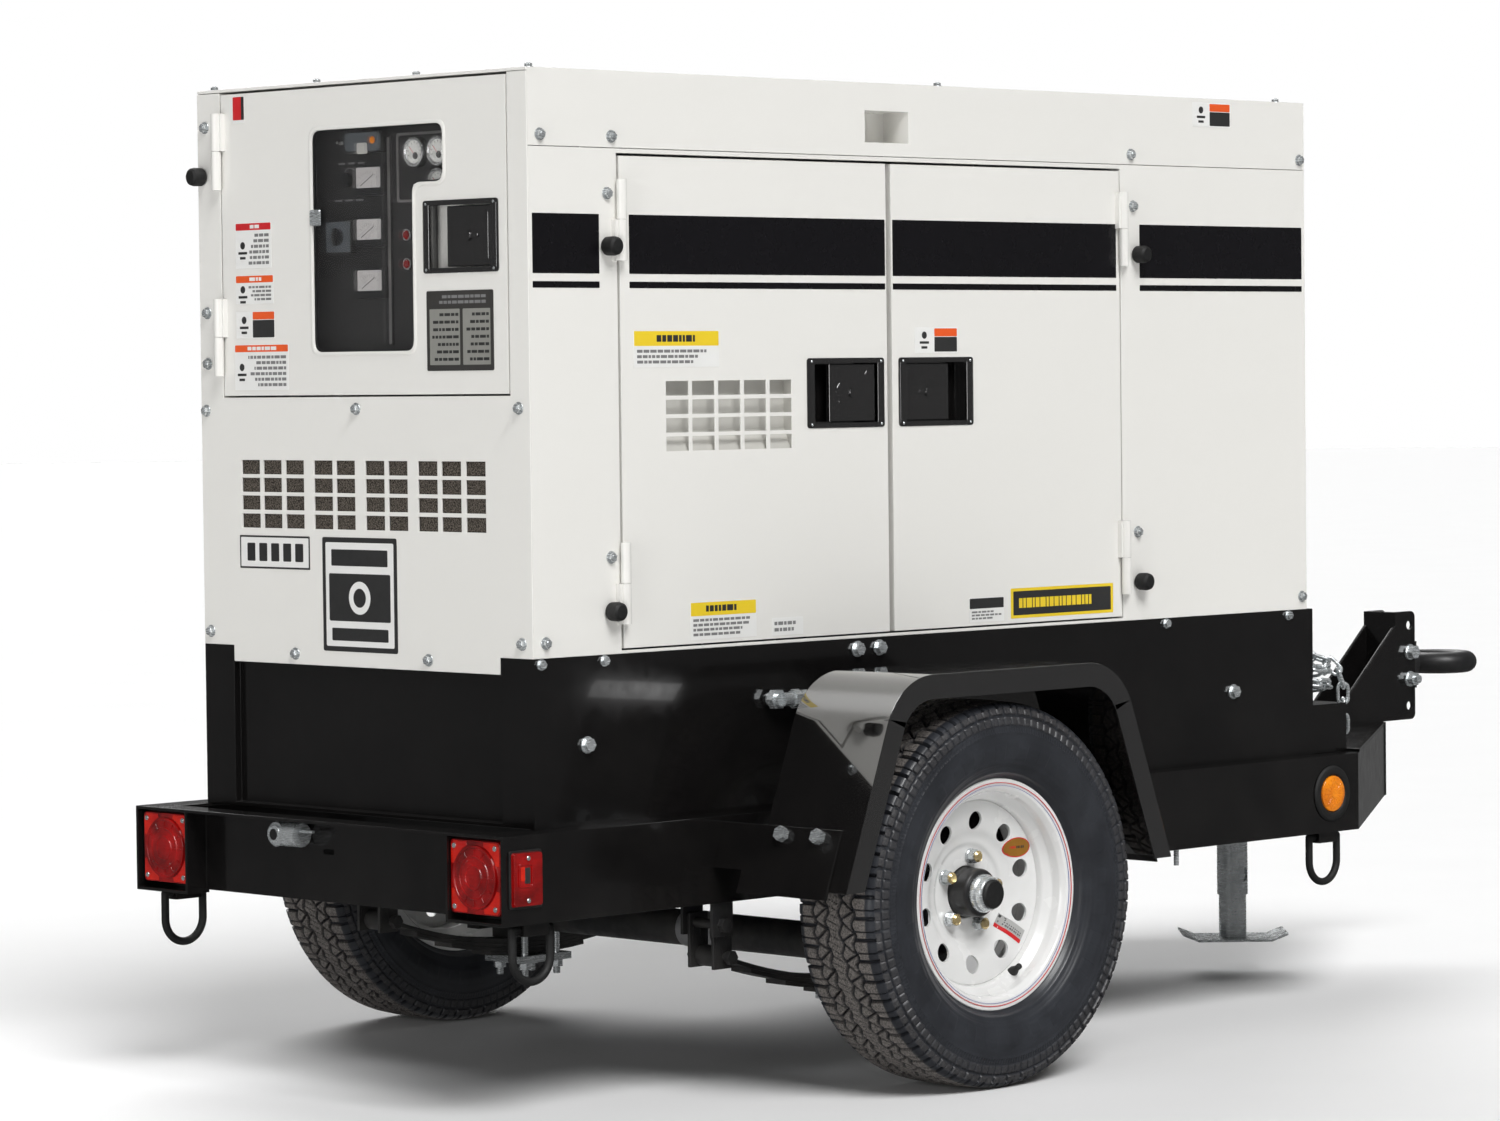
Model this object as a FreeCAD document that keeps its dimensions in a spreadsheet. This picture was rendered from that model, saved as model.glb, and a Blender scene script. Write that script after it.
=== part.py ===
import FreeCAD, Part
import math
import os

import Sketcher

# Towable diesel generator: a sound-proofed generator set on a single-axle trailer.
# Frame: +X forward to the towing eye, +Y left, +Z up, millimetres.
# Origin: on the ground, midway between the rear of the trailer frame and the tip of the towing eye,
# on the mid-plane. Every sub-part is one labelled object, written to parts/LABEL.step.

Vector = FreeCAD.Vector
Rotation = FreeCAD.Rotation

DIMENSIONS = [
    # trailer frame
    ("frame_rear", -1466, "rear edge of the frame"),
    ("rail_front", 580, "front end of the side rails"),
    ("rail_side", 444, "half width over the side rails"),
    ("rail_low", 304, "underside of the rails"),
    ("rail_top", 440, "top of the rails"),
    ("rail_flange", 60, "rail flange width"),
    ("plate", 5, "frame plate thickness"),
    ("web_recess", 40, "depth of the rear cross-member web"),
    ("tongue_tip", 1166, "front end of the tongue members"),
    ("tongue_half", 45, "half width at the tongue tip"),
    ("eye_tip", 1466, "front of the towing eye"),
    ("eye_height", 549.5, "height of the towing eye"),
    ("eye_wire", 20.5, "section radius of the towing eye"),
    ("eye_ring", 58.5, "centreline radius of the towing eye"),
    ("hole_pitch", 52, "pitch of the hitch height holes"),
    # running gear
    ("axle_x", -654, "position of the axle"),
    ("wheel_radius", 305, "radius of the tyre"),
    ("wheel_side", 635.5, "half distance between wheel centre planes"),
    ("axle_tube", 30, "radius of the axle tube"),
    ("axle_height", 203, "height of the dropped axle tube"),
    ("spindle", 19, "radius of the wheel spindle"),
    ("spring_side", 400, "half distance between the springs"),
    ("spring_reach", 334, "half length of the main leaf"),
    ("leaf", 7, "leaf thickness"),
    ("leaf_width", 45, "leaf width"),
    ("leaf_radius", 960, "curvature radius of the main leaf"),
    ("leaf_top", 160.4, "top of the main leaf at the axle"),
    ("eye_z", 216, "height of the spring eyes"),
    ("fender_top", 662, "top of the fender"),
    ("fender_low", 338, "lower edge of the fender"),
    ("fender_foot", 378, "half length of the fender at its lower edge"),
    ("fender_head", 257, "half length of the fender at its top"),
    ("fender_in", 535, "inner edge of the fender"),
    ("fender_out", 737, "outer face of the fender"),
    ("fender_lip", 38, "depth of the fender's outer lip"),
    ("fender_round", 110, "corner radius of the fender"),
    # jack
    ("jack_x", 762, "position of the jack"),
    ("jack_outer", 28.5, "outer radius of the jack tube"),
    ("jack_inner", 25.4, "outer radius of the jack leg"),
    ("jack_foot", 60, "height of the foot plate above the ground"),
    # body
    ("body_rear", -1356, "rear face of the enclosure"),
    ("body_front", 498, "front face of the enclosure"),
    ("body_side", 396, "half width of the enclosure"),
    ("base_front", 514, "front face of the base pan"),
    ("base_top", 699, "top of the base pan"),
    ("panel_low", 673, "lower edge of the rear panel between the posts"),
    ("post_in", 322, "inner edge of the rear base posts"),
    ("seam", 1475, "lower edge of the roof cover"),
    ("roof", 1594, "top of the roof"),
    ("skin", 3, "thickness of fixed sheet metal"),
    ("tank_top", 650, "top of the fuel tank"),
    # side doors
    ("door_rear", -1166, "outer edge of the rear side door"),
    ("door_split_rear", -574, "inner edge of the rear side door"),
    ("door_split_front", -562, "inner edge of the front side door"),
    ("door_front", 0, "outer edge of the front side door"),
    ("door_low", 707, "lower edge of the side doors"),
    ("door_top", 1464, "upper edge of the side doors"),
    ("door_gap", 5, "gap round a side door"),
    ("door_skin", 2, "thickness of door sheet metal"),
    ("door_depth", 22, "depth of a door's folded edge"),
    # control door
    ("control_left", 336, "hinge edge of the control door"),
    ("control_right", -349, "free edge of the control door"),
    ("control_low", 1101, "lower edge of the control door"),
    ("control_top", 1585, "upper edge of the control door"),
    ("window_left", 112, "hinge side of the window"),
    ("window_right", -207, "free side of the window"),
    ("window_notch", -135, "free side of the window's lower part"),
    ("window_step", 1426, "height of the window's step"),
    ("window_low", 1166, "lower edge of the window"),
    ("window_top", 1521, "upper edge of the window"),
    # hinges and latches
    ("knuckle", 8, "radius of a hinge knuckle"),
    ("knuckle_out", 9, "distance of a hinge axis from the panel face"),
    ("hinge_pin", 3, "radius of a hinge pin"),
    ("pocket_high", 110, "height of a latch pocket"),
    ("pocket_deep", 28, "depth of a latch pocket"),
    ("panel_face", 34, "distance from the rear face to the control panel"),
]

document = FreeCAD.newDocument("TowableGenerator")
sheet = document.addObject("Spreadsheet::Sheet", "Dims")
parts = []


class Dim:
    """A number that carries the spreadsheet expression it came from."""

    def __init__(self, value, text):
        self.value = float(value)
        self.text = text

    def __add__(self, other):
        other = as_dim(other)
        return Dim(self.value + other.value, f"({self.text} + {other.text})")

    def __sub__(self, other):
        other = as_dim(other)
        return Dim(self.value - other.value, f"({self.text} - {other.text})")

    def __mul__(self, other):
        other = as_dim(other)
        return Dim(self.value * other.value, f"({self.text} * {other.text})")

    def __truediv__(self, other):
        other = as_dim(other)
        return Dim(self.value / other.value, f"({self.text} / {other.text})")

    def __neg__(self):
        return Dim(-self.value, f"(0 - {self.text})")

    def __radd__(self, other):
        return as_dim(other) + self

    def __rsub__(self, other):
        return as_dim(other) - self

    def __rmul__(self, other):
        return as_dim(other) * self


def as_dim(item):
    return item if isinstance(item, Dim) else Dim(item, f"({float(item):.6f})")


class Dimensions:
    """Gives each spreadsheet alias as a Dim, such as D.rail_top."""


def fill_sheet():
    for row, (alias, value, note) in enumerate(DIMENSIONS, start=1):
        sheet.set(f"A{row}", alias)
        sheet.set(f"B{row}", str(value))
        sheet.set(f"C{row}", note)
        sheet.setAlias(f"B{row}", alias)
        setattr(Dimensions, alias, Dim(value, f"Dims.{alias}"))
    document.recompute()


fill_sheet()
D = Dimensions
RIGHT = -1
LEFT = 1


# ---------------------------------------------------------------- helpers

def bind(obj, name, size):
    """Bind one property to the spreadsheet expression of a size."""
    obj.setExpression(name, as_dim(size).text)


def place(obj, at, rotation=None):
    """Put an object at a point whose coordinates are bound to the sheet."""
    at = [as_dim(item) for item in at]
    obj.Placement = FreeCAD.Placement(Vector(*[item.value for item in at]), rotation or Rotation())
    for axis, item in zip("xyz", at):
        bind(obj, f"Placement.Base.{axis}", item)
    return obj


def block(low, high):
    """A box between two corners."""
    obj = document.addObject("Part::Box", "block")
    for name, start, end in zip(("Length", "Width", "Height"), low, high):
        bind(obj, name, as_dim(end) - start)
    return place(obj, low)


def side_block(side, x_span, y_span, z_span):
    """A box given by its distances from the mid-plane, on one side of it."""
    near, far = y_span
    if side == LEFT:
        low_y, high_y = near, far
    else:
        low_y, high_y = -as_dim(far), -as_dim(near)
    return block((x_span[0], low_y, z_span[0]), (x_span[1], high_y, z_span[1]))


TURNS = {
    "x": Rotation(Vector(0, 1, 0), 90),
    "y": Rotation(Vector(1, 0, 0), -90),
    "z": Rotation(),
}


def rod(radius, start, length, axis="z"):
    """A cylinder that runs from start along +x, +y or +z."""
    obj = document.addObject("Part::Cylinder", "rod")
    bind(obj, "Radius", radius)
    bind(obj, "Height", length)
    return place(obj, start, TURNS[axis])


def hexagon(across, start, length, axis="z"):
    """A hexagonal prism, such as a bolt head; across is its width over corners."""
    obj = document.addObject("Part::Prism", "hexagon")
    obj.Polygon = 6
    bind(obj, "Circumradius", as_dim(across) / 2)
    bind(obj, "Height", length)
    return place(obj, start, TURNS[axis])


def torus(ring, wire, centre, rotation=None, sweep=360):
    obj = document.addObject("Part::Torus", "torus")
    bind(obj, "Radius1", ring)
    bind(obj, "Radius2", wire)
    obj.Angle3 = sweep
    return place(obj, centre, rotation)


def fuse(*members):
    obj = document.addObject("Part::MultiFuse", "fuse")
    obj.Shapes = list(members)
    return obj


def group(*members):
    """Separate solids that share one node."""
    obj = document.addObject("Part::Compound", "group")
    obj.Links = list(members)
    return obj


def cut(base, *tools):
    obj = document.addObject("Part::Cut", "cut")
    obj.Base = base
    obj.Tool = tools[0] if len(tools) == 1 else group(*tools)
    return obj


def common(first, second):
    obj = document.addObject("Part::Common", "common")
    obj.Base = first
    obj.Tool = second
    return obj


def mirrored(source):
    """The same piece on the other side of the mid-plane."""
    obj = document.addObject("Part::Mirroring", "mirrored")
    obj.Source = source
    obj.Normal = Vector(0, 1, 0)
    obj.Base = Vector(0, 0, 0)
    return obj


def tube(outer, inner, start, length, axis="z"):
    return cut(rod(outer, start, length, axis), rod(inner, start, length, axis))


def shell(low, high, walls, open_side=None):
    """A thin-walled box; open_side such as '+z' leaves one side away."""
    inner_low = [as_dim(item) + walls for item in low]
    inner_high = [as_dim(item) - walls for item in high]
    if open_side:
        index = "xyz".index(open_side[1])
        if open_side[0] == "+":
            inner_high[index] = as_dim(high[index]) + walls
        else:
            inner_low[index] = as_dim(low[index]) - walls
    return cut(block(low, high), block(inner_low, inner_high))


def sketch_on(body, plane, name):
    """An empty sketch on one of a body's own origin planes."""
    sketch = body.newObject("Sketcher::SketchObject", name)
    support = [item for item in body.Origin.OriginFeatures if item.Role == plane][0]
    sketch.AttachmentSupport = [(support, "")]
    sketch.MapMode = "FlatFace"
    return sketch


def draw_outline(sketch, points):
    """A closed outline whose corners are bound to the sheet."""
    points = [(as_dim(across), as_dim(up)) for across, up in points]
    corners = [Vector(across.value, up.value, 0) for across, up in points]
    count = len(corners)
    for index in range(count):
        sketch.addGeometry(Part.LineSegment(corners[index], corners[(index + 1) % count]), False)
    for index in range(count):
        following = (index + 1) % count
        sketch.addConstraint(Sketcher.Constraint("Coincident", index, 2, following, 1))
    for index, (across, up) in enumerate(points):
        for kind, size in (("DistanceX", across), ("DistanceY", up)):
            number = sketch.addConstraint(Sketcher.Constraint(kind, -1, 1, index, 1, size.value))
            sketch.setExpression(f"Constraints[{number}]", size.text)


def padded(name, plane, points, length, at=(0, 0, 0), rounds=None):
    """A body: an outline on an origin plane, padded and rounded along chosen corners."""
    body = document.addObject("PartDesign::Body", name)
    sketch = sketch_on(body, plane, name + "_outline")
    draw_outline(sketch, points)
    pad = body.newObject("PartDesign::Pad", name + "_pad")
    pad.Profile = sketch
    bind(pad, "Length", length)
    if rounds:
        radius, chosen = rounds
        document.recompute()
        names = long_edges(pad.Shape, [points[index] for index in chosen], plane)
        fillet = body.newObject("PartDesign::Fillet", name + "_rounds")
        fillet.Base = (pad, names)
        bind(fillet, "Radius", radius)
    place(body, at)
    return body


def long_edges(shape, corners, plane):
    """Names of the edges that run along the pad from the given corners."""
    near = 0.01
    names = []
    for number, edge in enumerate(shape.Edges, start=1):
        first, last = edge.Vertexes[0].Point, edge.Vertexes[-1].Point
        spots = []
        for point in (first, last):
            flat = {"XY_Plane": (point.x, point.y), "XZ_Plane": (point.x, point.z)}
            spots.append(flat.get(plane, (point.y, point.z)))
        if math.dist(*spots) > near:
            continue
        for across, up in corners:
            if math.dist(spots[0], (as_dim(across).value, as_dim(up).value)) < near:
                names.append(f"Edge{number}")
    return names


def spun(name, outlines, at):
    """A body of revolution about its own Y axis; outlines are (radius, distance outward)."""
    body = document.addObject("PartDesign::Body", name)
    for number, points in enumerate(outlines):
        sketch = sketch_on(body, "XY_Plane", f"{name}_profile{number}")
        draw_outline(sketch, [(radius, -as_dim(outward)) for radius, outward in points])
        turn = body.newObject("PartDesign::Revolution", f"{name}_turn{number}")
        turn.Profile = sketch
        turn.ReferenceAxis = (sketch, ["V_Axis"])
        turn.Angle = 360
        document.recompute()
    place(body, at)
    return body


def hole_ring(body, name, count, ring, radius, first_angle):
    """Round holes through a body of revolution, spaced round its own Y axis."""
    before = body.Shape.Volume
    sketch = sketch_on(body, "XZ_Plane", name + "_circle")
    angle = math.radians(first_angle)
    across = as_dim(ring) * math.cos(angle)
    up = as_dim(ring) * math.sin(angle)
    sketch.addGeometry(Part.Circle(Vector(across.value, up.value, 0), Vector(0, 0, 1), radius), False)
    for kind, size in (("DistanceX", across), ("DistanceY", up)):
        number = sketch.addConstraint(Sketcher.Constraint(kind, -1, 1, 0, 3, size.value))
        sketch.setExpression(f"Constraints[{number}]", size.text)
    sketch.addConstraint(Sketcher.Constraint("Radius", 0, radius))
    pocket = body.newObject("PartDesign::Pocket", name)
    pocket.Profile = sketch
    pocket.Type = "ThroughAll"
    pocket.Midplane = True
    document.recompute()
    polar = body.newObject("PartDesign::PolarPattern", name + "_pattern")
    polar.Originals = [pocket]
    axis = [item for item in body.Origin.OriginFeatures if item.Role == "Y_Axis"][0]
    polar.Axis = (axis, [""])
    polar.Angle = 360
    polar.Occurrences = count
    body.Tip = polar
    document.recompute()
    removed = before - body.Shape.Volume
    if removed < 0.9 * count * math.pi * radius ** 2:
        raise RuntimeError(f"{name} removed only {removed:.0f} mm3")


def part(label, obj):
    """Name a finished sub-part."""
    obj.Label = label
    parts.append(obj)
    return obj


# ---------------------------------------------------------------- trailer frame

def rail(side):
    """One folded channel, open towards the mid-plane."""
    outer = D.rail_side * side
    inner = (D.rail_side - D.rail_flange) * side
    web = (D.rail_side - D.plate) * side
    low, top = D.rail_low, D.rail_top
    points = [
        (outer, low), (inner, low), (inner, low + D.plate), (web, low + D.plate),
        (web, top - D.plate), (inner, top - D.plate), (inner, top), (outer, top),
    ]
    name = "rail_left" if side == LEFT else "rail_right"
    return padded(name, "YZ_Plane", points, D.rail_front - D.frame_rear, (D.frame_rear, 0, 0))


LAMP_SIDE = 375
LAMP_HALF = 57


def rear_crossmember():
    """Recessed web with a top flange and, behind each tail lamp, a bay with its cheek and sill."""
    web_x = D.frame_rear + D.web_recess
    web_low = D.rail_low + D.plate
    inner_web = D.rail_side - D.plate
    inner_flange = D.rail_side - D.rail_flange
    bay = LAMP_SIDE - LAMP_HALF - 5
    web = block((web_x, -inner_web, web_low), (web_x + D.plate, inner_web, D.rail_top - D.plate))
    members = [
        web,
        block((D.frame_rear, -inner_flange, D.rail_top - D.plate),
              (web_x + D.plate, inner_flange, D.rail_top)),
    ]
    for side in (LEFT, RIGHT):
        members.append(side_block(side, (D.frame_rear, web_x), (bay, bay + D.plate),
                                  (D.rail_low + D.plate, D.rail_top - D.plate)))
        members.append(side_block(side, (D.frame_rear, web_x + D.plate), (bay, inner_flange),
                                  (D.rail_low, D.rail_low + D.plate)))
    slot_y, slot_z = 8, 388
    slot = block((web_x - 1, slot_y - 13, slot_z - 4), (web_x + D.plate + 1, slot_y + 13, slot_z + 4))
    return cut(fuse(*members), slot)


def tongue(side):
    """One folded member of the V-shaped tongue."""
    run = (D.tongue_tip - D.rail_front).value
    narrowing = (D.rail_side - D.tongue_half).value
    slant = math.hypot(run, narrowing) / run
    web = D.plate * slant
    flange = as_dim(34) * slant
    start, end = (D.rail_front, D.rail_side), (D.tongue_tip, D.tongue_half)

    def strip(name, width, low, thickness):
        points = [
            (start[0], start[1] * side), (end[0], end[1] * side),
            (end[0], (end[1] - width) * side), (start[0], (start[1] - width) * side),
        ]
        return padded(name, "XY_Plane", points, thickness, (0, 0, low))

    suffix = "left" if side == LEFT else "right"
    return fuse(
        strip("tongue_web_" + suffix, web, D.rail_low, D.rail_top - D.rail_low),
        strip("tongue_foot_" + suffix, flange, D.rail_low, D.plate),
        strip("tongue_cap_" + suffix, flange, D.rail_top - D.plate, D.plate),
    )


RISER_LOW = 445
RISER_TOP = 654
RISER_BACK = 1209
RISER_FRONT = 1272
RISER_HALF = 38
RISER_HOLE_X = 1254
RISER_PLATE = 6
RISER_HOLE = 8.5


def hitch_riser():
    """Deck plate over the tongue, and a channel with four height holes braced by two gussets."""
    deck_rear = 610
    step = (D.rail_side - D.tongue_half).value / (D.tongue_tip - D.rail_front).value
    rear_half = D.rail_side - (deck_rear - D.rail_front) * step
    deck = padded("deck", "XY_Plane", [
        (deck_rear, -rear_half), (D.tongue_tip, -D.tongue_half),
        (D.tongue_tip, D.tongue_half), (deck_rear, rear_half),
    ], D.plate, (0, 0, D.rail_top))
    nose = block((D.tongue_tip, -D.tongue_half, D.rail_low),
                 (D.tongue_tip + D.plate, D.tongue_half, D.rail_top + D.plate))
    web = block((RISER_BACK, -RISER_HALF, RISER_LOW), (RISER_BACK + RISER_PLATE, RISER_HALF, RISER_TOP))
    cheek_points = [
        (1003, RISER_LOW), (RISER_FRONT, RISER_LOW), (RISER_FRONT, RISER_TOP),
        (RISER_BACK, RISER_TOP), (RISER_BACK, 628),
    ]
    members = [deck, nose, web]
    for name, face in (("cheek_right", -RISER_HALF + RISER_PLATE), ("cheek_left", RISER_HALF)):
        members.append(padded(name, "XZ_Plane", cheek_points, RISER_PLATE, (0, face, 0), (12, (1, 2))))
    holes = [
        rod(RISER_HOLE, (RISER_HOLE_X, -60, D.eye_height + D.hole_pitch * step_number), 120, "y")
        for step_number in (-1.5, -0.5, 0.5, 1.5)
    ]
    jack_hole = rod(D.jack_outer + 0.5, (D.jack_x, 0, D.rail_top - 10), 30)
    return cut(fuse(*members), *holes, jack_hole)


def front_step():
    """Folded box in front of the base, open below."""
    return shell((D.base_front, -D.body_side, D.rail_top), (608, D.body_side, 527), D.skin, "-z")


def lunette_eye():
    """Towing eye with a round land in its bore, a neck and a drilled block between the cheeks."""
    centre = D.eye_tip - D.eye_ring - D.eye_wire
    ring = torus(D.eye_ring, D.eye_wire, (centre, 0, D.eye_height))
    neck_end = centre - D.eye_ring
    neck = rod(D.eye_wire, (1280, 0, D.eye_height), neck_end - 1280, "x")
    cheek_gap = 0.5
    half = RISER_HALF - RISER_PLATE - cheek_gap
    high = 45
    shank = block((RISER_BACK + RISER_PLATE + 2, -half, D.eye_height - high),
                  (1285, half, D.eye_height + high))
    bore = rod(39.5, (centre, 0, D.eye_height - 40), 80)
    holes = [
        rod(RISER_HOLE, (RISER_HOLE_X, -60, D.eye_height + D.hole_pitch * step_number), 120, "y")
        for step_number in (-0.5, 0.5)
    ]
    return cut(fuse(ring, neck, shank), bore, *holes)


def chain_link(wire, inner_half, bend):
    """One stadium-shaped link along X, lying in the XY plane."""
    straight = inner_half - bend + wire
    upper = Vector(straight, bend, 0)
    lower = Vector(straight, -bend, 0)
    tip = Vector(straight + bend, 0, 0)
    edges = [
        Part.LineSegment(Vector(-straight, bend, 0), upper).toShape(),
        Part.Arc(upper, tip, lower).toShape(),
        Part.LineSegment(lower, Vector(-straight, -bend, 0)).toShape(),
        Part.Arc(Vector(-straight, -bend, 0), -tip, Vector(-straight, bend, 0)).toShape(),
    ]
    path = Part.Wire(edges)
    profile = Part.Wire(Part.makeCircle(wire, Vector(-straight, bend, 0), Vector(1, 0, 0)))
    return path.makePipeShell([profile], True, True)


CHAIN_PITCH = 27.5


def chain_route():
    """Pivots of a chain heaped in loops on the step, with its end hanging over the front edge."""
    centre = Vector(566.5, -338, 527 + 16)
    loop, turns, rise = 38, 2.39, 27.5
    angle = math.radians(150)
    last_angle = angle - turns * math.tau
    step = 2 * math.asin(CHAIN_PITCH / 2 / loop)
    points = []
    while angle > last_angle:
        risen = rise * len(points) * step / math.tau
        points.append(centre + Vector(loop * math.cos(angle), loop * math.sin(angle), risen))
        angle -= step
    hanging = ((14, -22, 8), (11, -16, 19), (4, -8, 26), (0, 0, 27.5), (0, 0, 27.5), (0, 0, 27.5))
    for across, along, down in hanging:
        points.append(points[-1] + Vector(across, along, -down))
    return points


def safety_chain():
    """A chain of separate links, each turned a right angle to the last."""
    link = chain_link(3.1, 15.2, 9.2)
    links = []
    points = chain_route()
    across = Vector(0, 0, 1)
    for number, (start, end) in enumerate(zip(points, points[1:])):
        along = end.sub(start).normalize()
        across = (across - along * across.dot(along)).normalize()
        turn = Rotation(along, across, along.cross(across), "XYZ")
        roll = Rotation(Vector(1, 0, 0), 45 + 90 * (number % 2))
        copy = link.copy()
        copy.Placement = FreeCAD.Placement((start + end) * 0.5, turn.multiply(roll))
        links.append(copy)
    obj = document.addObject("Part::Feature", "chain")
    obj.Shape = Part.makeCompound(links)
    obj.Placement = FreeCAD.Placement()
    return obj


RING_HALF = 38.5
RING_WIRE = 6.5
RING_BAR = 295
RING_LEG = 42
RING_SPOTS = {
    "rear_left": (-1389, LEFT), "rear_right": (-1389, RIGHT),
    "front_left": (508, LEFT), "front_right": (508, RIGHT),
}
RING_SIDE = 420


def tie_ring(spot):
    """A D-shaped ring hanging from its straight bar."""
    x, side = RING_SPOTS[spot]
    y = RING_SIDE * side
    bend = RING_BAR - RING_LEG
    down = Rotation(Vector(1, 0, 0), -90)
    corner = document.addObject("Part::Sphere", "corner")
    other = document.addObject("Part::Sphere", "corner")
    for ball, end in ((corner, -RING_HALF), (other, RING_HALF)):
        bind(ball, "Radius", RING_WIRE)
        place(ball, (x + end, y, RING_BAR))
    return fuse(
        rod(RING_WIRE, (x - RING_HALF, y, RING_BAR), 2 * RING_HALF, "x"),
        rod(RING_WIRE, (x - RING_HALF, y, bend), RING_LEG, "z"),
        rod(RING_WIRE, (x + RING_HALF, y, bend), RING_LEG, "z"),
        torus(RING_HALF, RING_WIRE, (x, y, bend), down, 180),
        corner, other,
    )


def ring_clip(spot):
    """The strap welded under the rail that holds one ring's bar."""
    x, side = RING_SPOTS[spot]
    y = RING_SIDE * side
    half_long, half_wide = 26, 13
    strap = block((x - half_long, y - half_wide, RING_BAR - 10), (x + half_long, y + half_wide, D.rail_low))
    return cut(strap, rod(RING_WIRE + 0.08, (x - half_long - 1, y, RING_BAR), 2 * half_long + 2, "x"))


def fender_bracket(side, way):
    """Sloped plate from the rail to the foot of a fender; way is -1 behind the wheel, +1 in front."""
    slope = (D.fender_foot - D.fender_head) / (D.fender_top - D.fender_low)
    top, low = 431, 327
    top_x = D.fender_foot - (top - D.fender_low) * slope
    low_x = D.fender_foot + (D.fender_low - low) * slope
    thickness = 5.3
    points = [(x * way + D.axle_x, z) for x, z in (
        (top_x, top), (top_x + thickness, top), (low_x + thickness, low), (low_x, low))]
    inner, outer = D.rail_side, as_dim(700)
    name = f"bracket_{'l' if side == LEFT else 'r'}{'f' if way > 0 else 'r'}"
    face = outer if side == LEFT else -inner
    plate = padded(name, "XZ_Plane", points, outer - inner, (0, face, 0))
    notch = side_block(side, (D.axle_x - 500, D.axle_x + 500), (inner, 508), (low - 10, 361))
    return cut(plate, notch)


def frame_brackets():
    members = [ring_clip(spot) for spot in RING_SPOTS]
    members += [fender_bracket(side, way) for side in (LEFT, RIGHT) for way in (-1, 1)]
    return group(*members)


# ---------------------------------------------------------------- fenders and lamps

def fender_outline(inset):
    """Trapezoid of the fender seen from the side, moved inward by inset."""
    slope = (D.fender_foot - D.fender_head) / (D.fender_top - D.fender_low)
    lean = math.hypot(1, slope.value)
    top = D.fender_top - inset
    low = D.fender_low - (1 if inset else 0)
    shift = as_dim(inset) * lean

    def edge(height):
        return D.fender_foot - (height - D.fender_low) * slope - shift

    return [
        (D.axle_x - edge(low), low), (D.axle_x + edge(low), low),
        (D.axle_x + edge(top), top), (D.axle_x - edge(top), top),
    ]


def fender():
    """Right-hand fender: bent sheet with a deep outer lip."""
    outer = padded("fender_outer", "XZ_Plane", fender_outline(0), D.fender_out - D.fender_in,
                   (0, -D.fender_in, 0), (D.fender_round, (2, 3)))
    hollow = padded("fender_hollow", "XZ_Plane", fender_outline(D.skin),
                    D.fender_out - D.fender_in - D.skin + 1,
                    (0, -D.fender_in + 1, 0), (D.fender_round - D.skin, (2, 3)))
    mouth = padded("fender_mouth", "XZ_Plane", fender_outline(D.fender_lip), 20,
                   (0, -D.fender_out + 10, 0), (D.fender_round - D.fender_lip, (2, 3)))
    return cut(outer, fuse(hollow, mouth))


LAMP_HEIGHT = 375
AMBER_X = 504
AMBER_Z = 373


def lamps():
    """Square tail lamps, flat side markers and round amber markers in rubber rings."""
    members = []
    for side in (LEFT, RIGHT):
        members.append(side_block(side, (D.frame_rear + 5, D.frame_rear + 38),
                                  (LAMP_SIDE - LAMP_HALF, LAMP_SIDE + LAMP_HALF),
                                  (LAMP_HEIGHT - LAMP_HALF, LAMP_HEIGHT + LAMP_HALF)))
        members.append(side_block(side, (-1453, -1392), (D.rail_side, D.rail_side + 8), (332, 416)))
        lens_y = D.rail_side if side == LEFT else -D.rail_side - 6
        ring_y = D.rail_side if side == LEFT else -D.rail_side - 4
        members.append(rod(32, (AMBER_X, lens_y, AMBER_Z), 6, "y"))
        members.append(tube(50, 32.2, (AMBER_X, ring_y, AMBER_Z), 4, "y"))
    return group(*members)


# ---------------------------------------------------------------- bolts and fittings

def side_bolt(x, z, face, head=20, side=RIGHT, thickness=8):
    """A hexagon head with its washer, standing out of a side face."""
    washer = 2
    face = as_dim(face)
    start = -face - washer if side == RIGHT else face
    top = -face - washer - thickness if side == RIGHT else face + washer
    return fuse(rod(head * 0.62, (x, start, z), washer, "y"), hexagon(head, (x, top, z), thickness, "y"))


def zinc_hardware():
    """Plated bolts, hitch bolts, drain fitting and the number-plate lamp barrel."""
    members = []
    small, large = 14, 21
    for side in (LEFT, RIGHT):
        for x in (-1340, -1209, 114, 445):
            members.append(side_bolt(x, 690, D.body_side, small, side, 5))
        for x in (-1247, 292):
            members.append(side_bolt(x, 563, D.body_side, large, side))
        for x in (-651, -600):
            members.append(side_bolt(x, 682, D.body_side, large, side))
        members += fender_bolts(side)
    members += hitch_bolts()
    fitting_x, fitting_z = -850, 612
    members.append(drain_fitting(fitting_x, fitting_z))
    members.append(plate_lamp())
    members.append(rod(4.5, (96, -430, D.rail_low - 28), 28))
    return group(*members)


def fender_bolts(side):
    """Two bolts through each foot of a fender, square to the slope."""
    slope = (D.fender_foot - D.fender_head).value / (D.fender_top - D.fender_low).value
    tilt = math.degrees(math.atan(slope))
    height = 418
    face = D.fender_foot - (height - D.fender_low) * slope
    bolts = []
    for way in (-1, 1):
        for y in (580, 658):
            x = D.axle_x + (face + 5.6) * way
            head = hexagon(24, (x, y * side, height), 12, "x")
            turn = Rotation(Vector(0, 1, 0), 90 * way - tilt * way)
            place(head, (x, y * side, height), turn)
            bolts.append(head)
    return bolts


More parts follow.
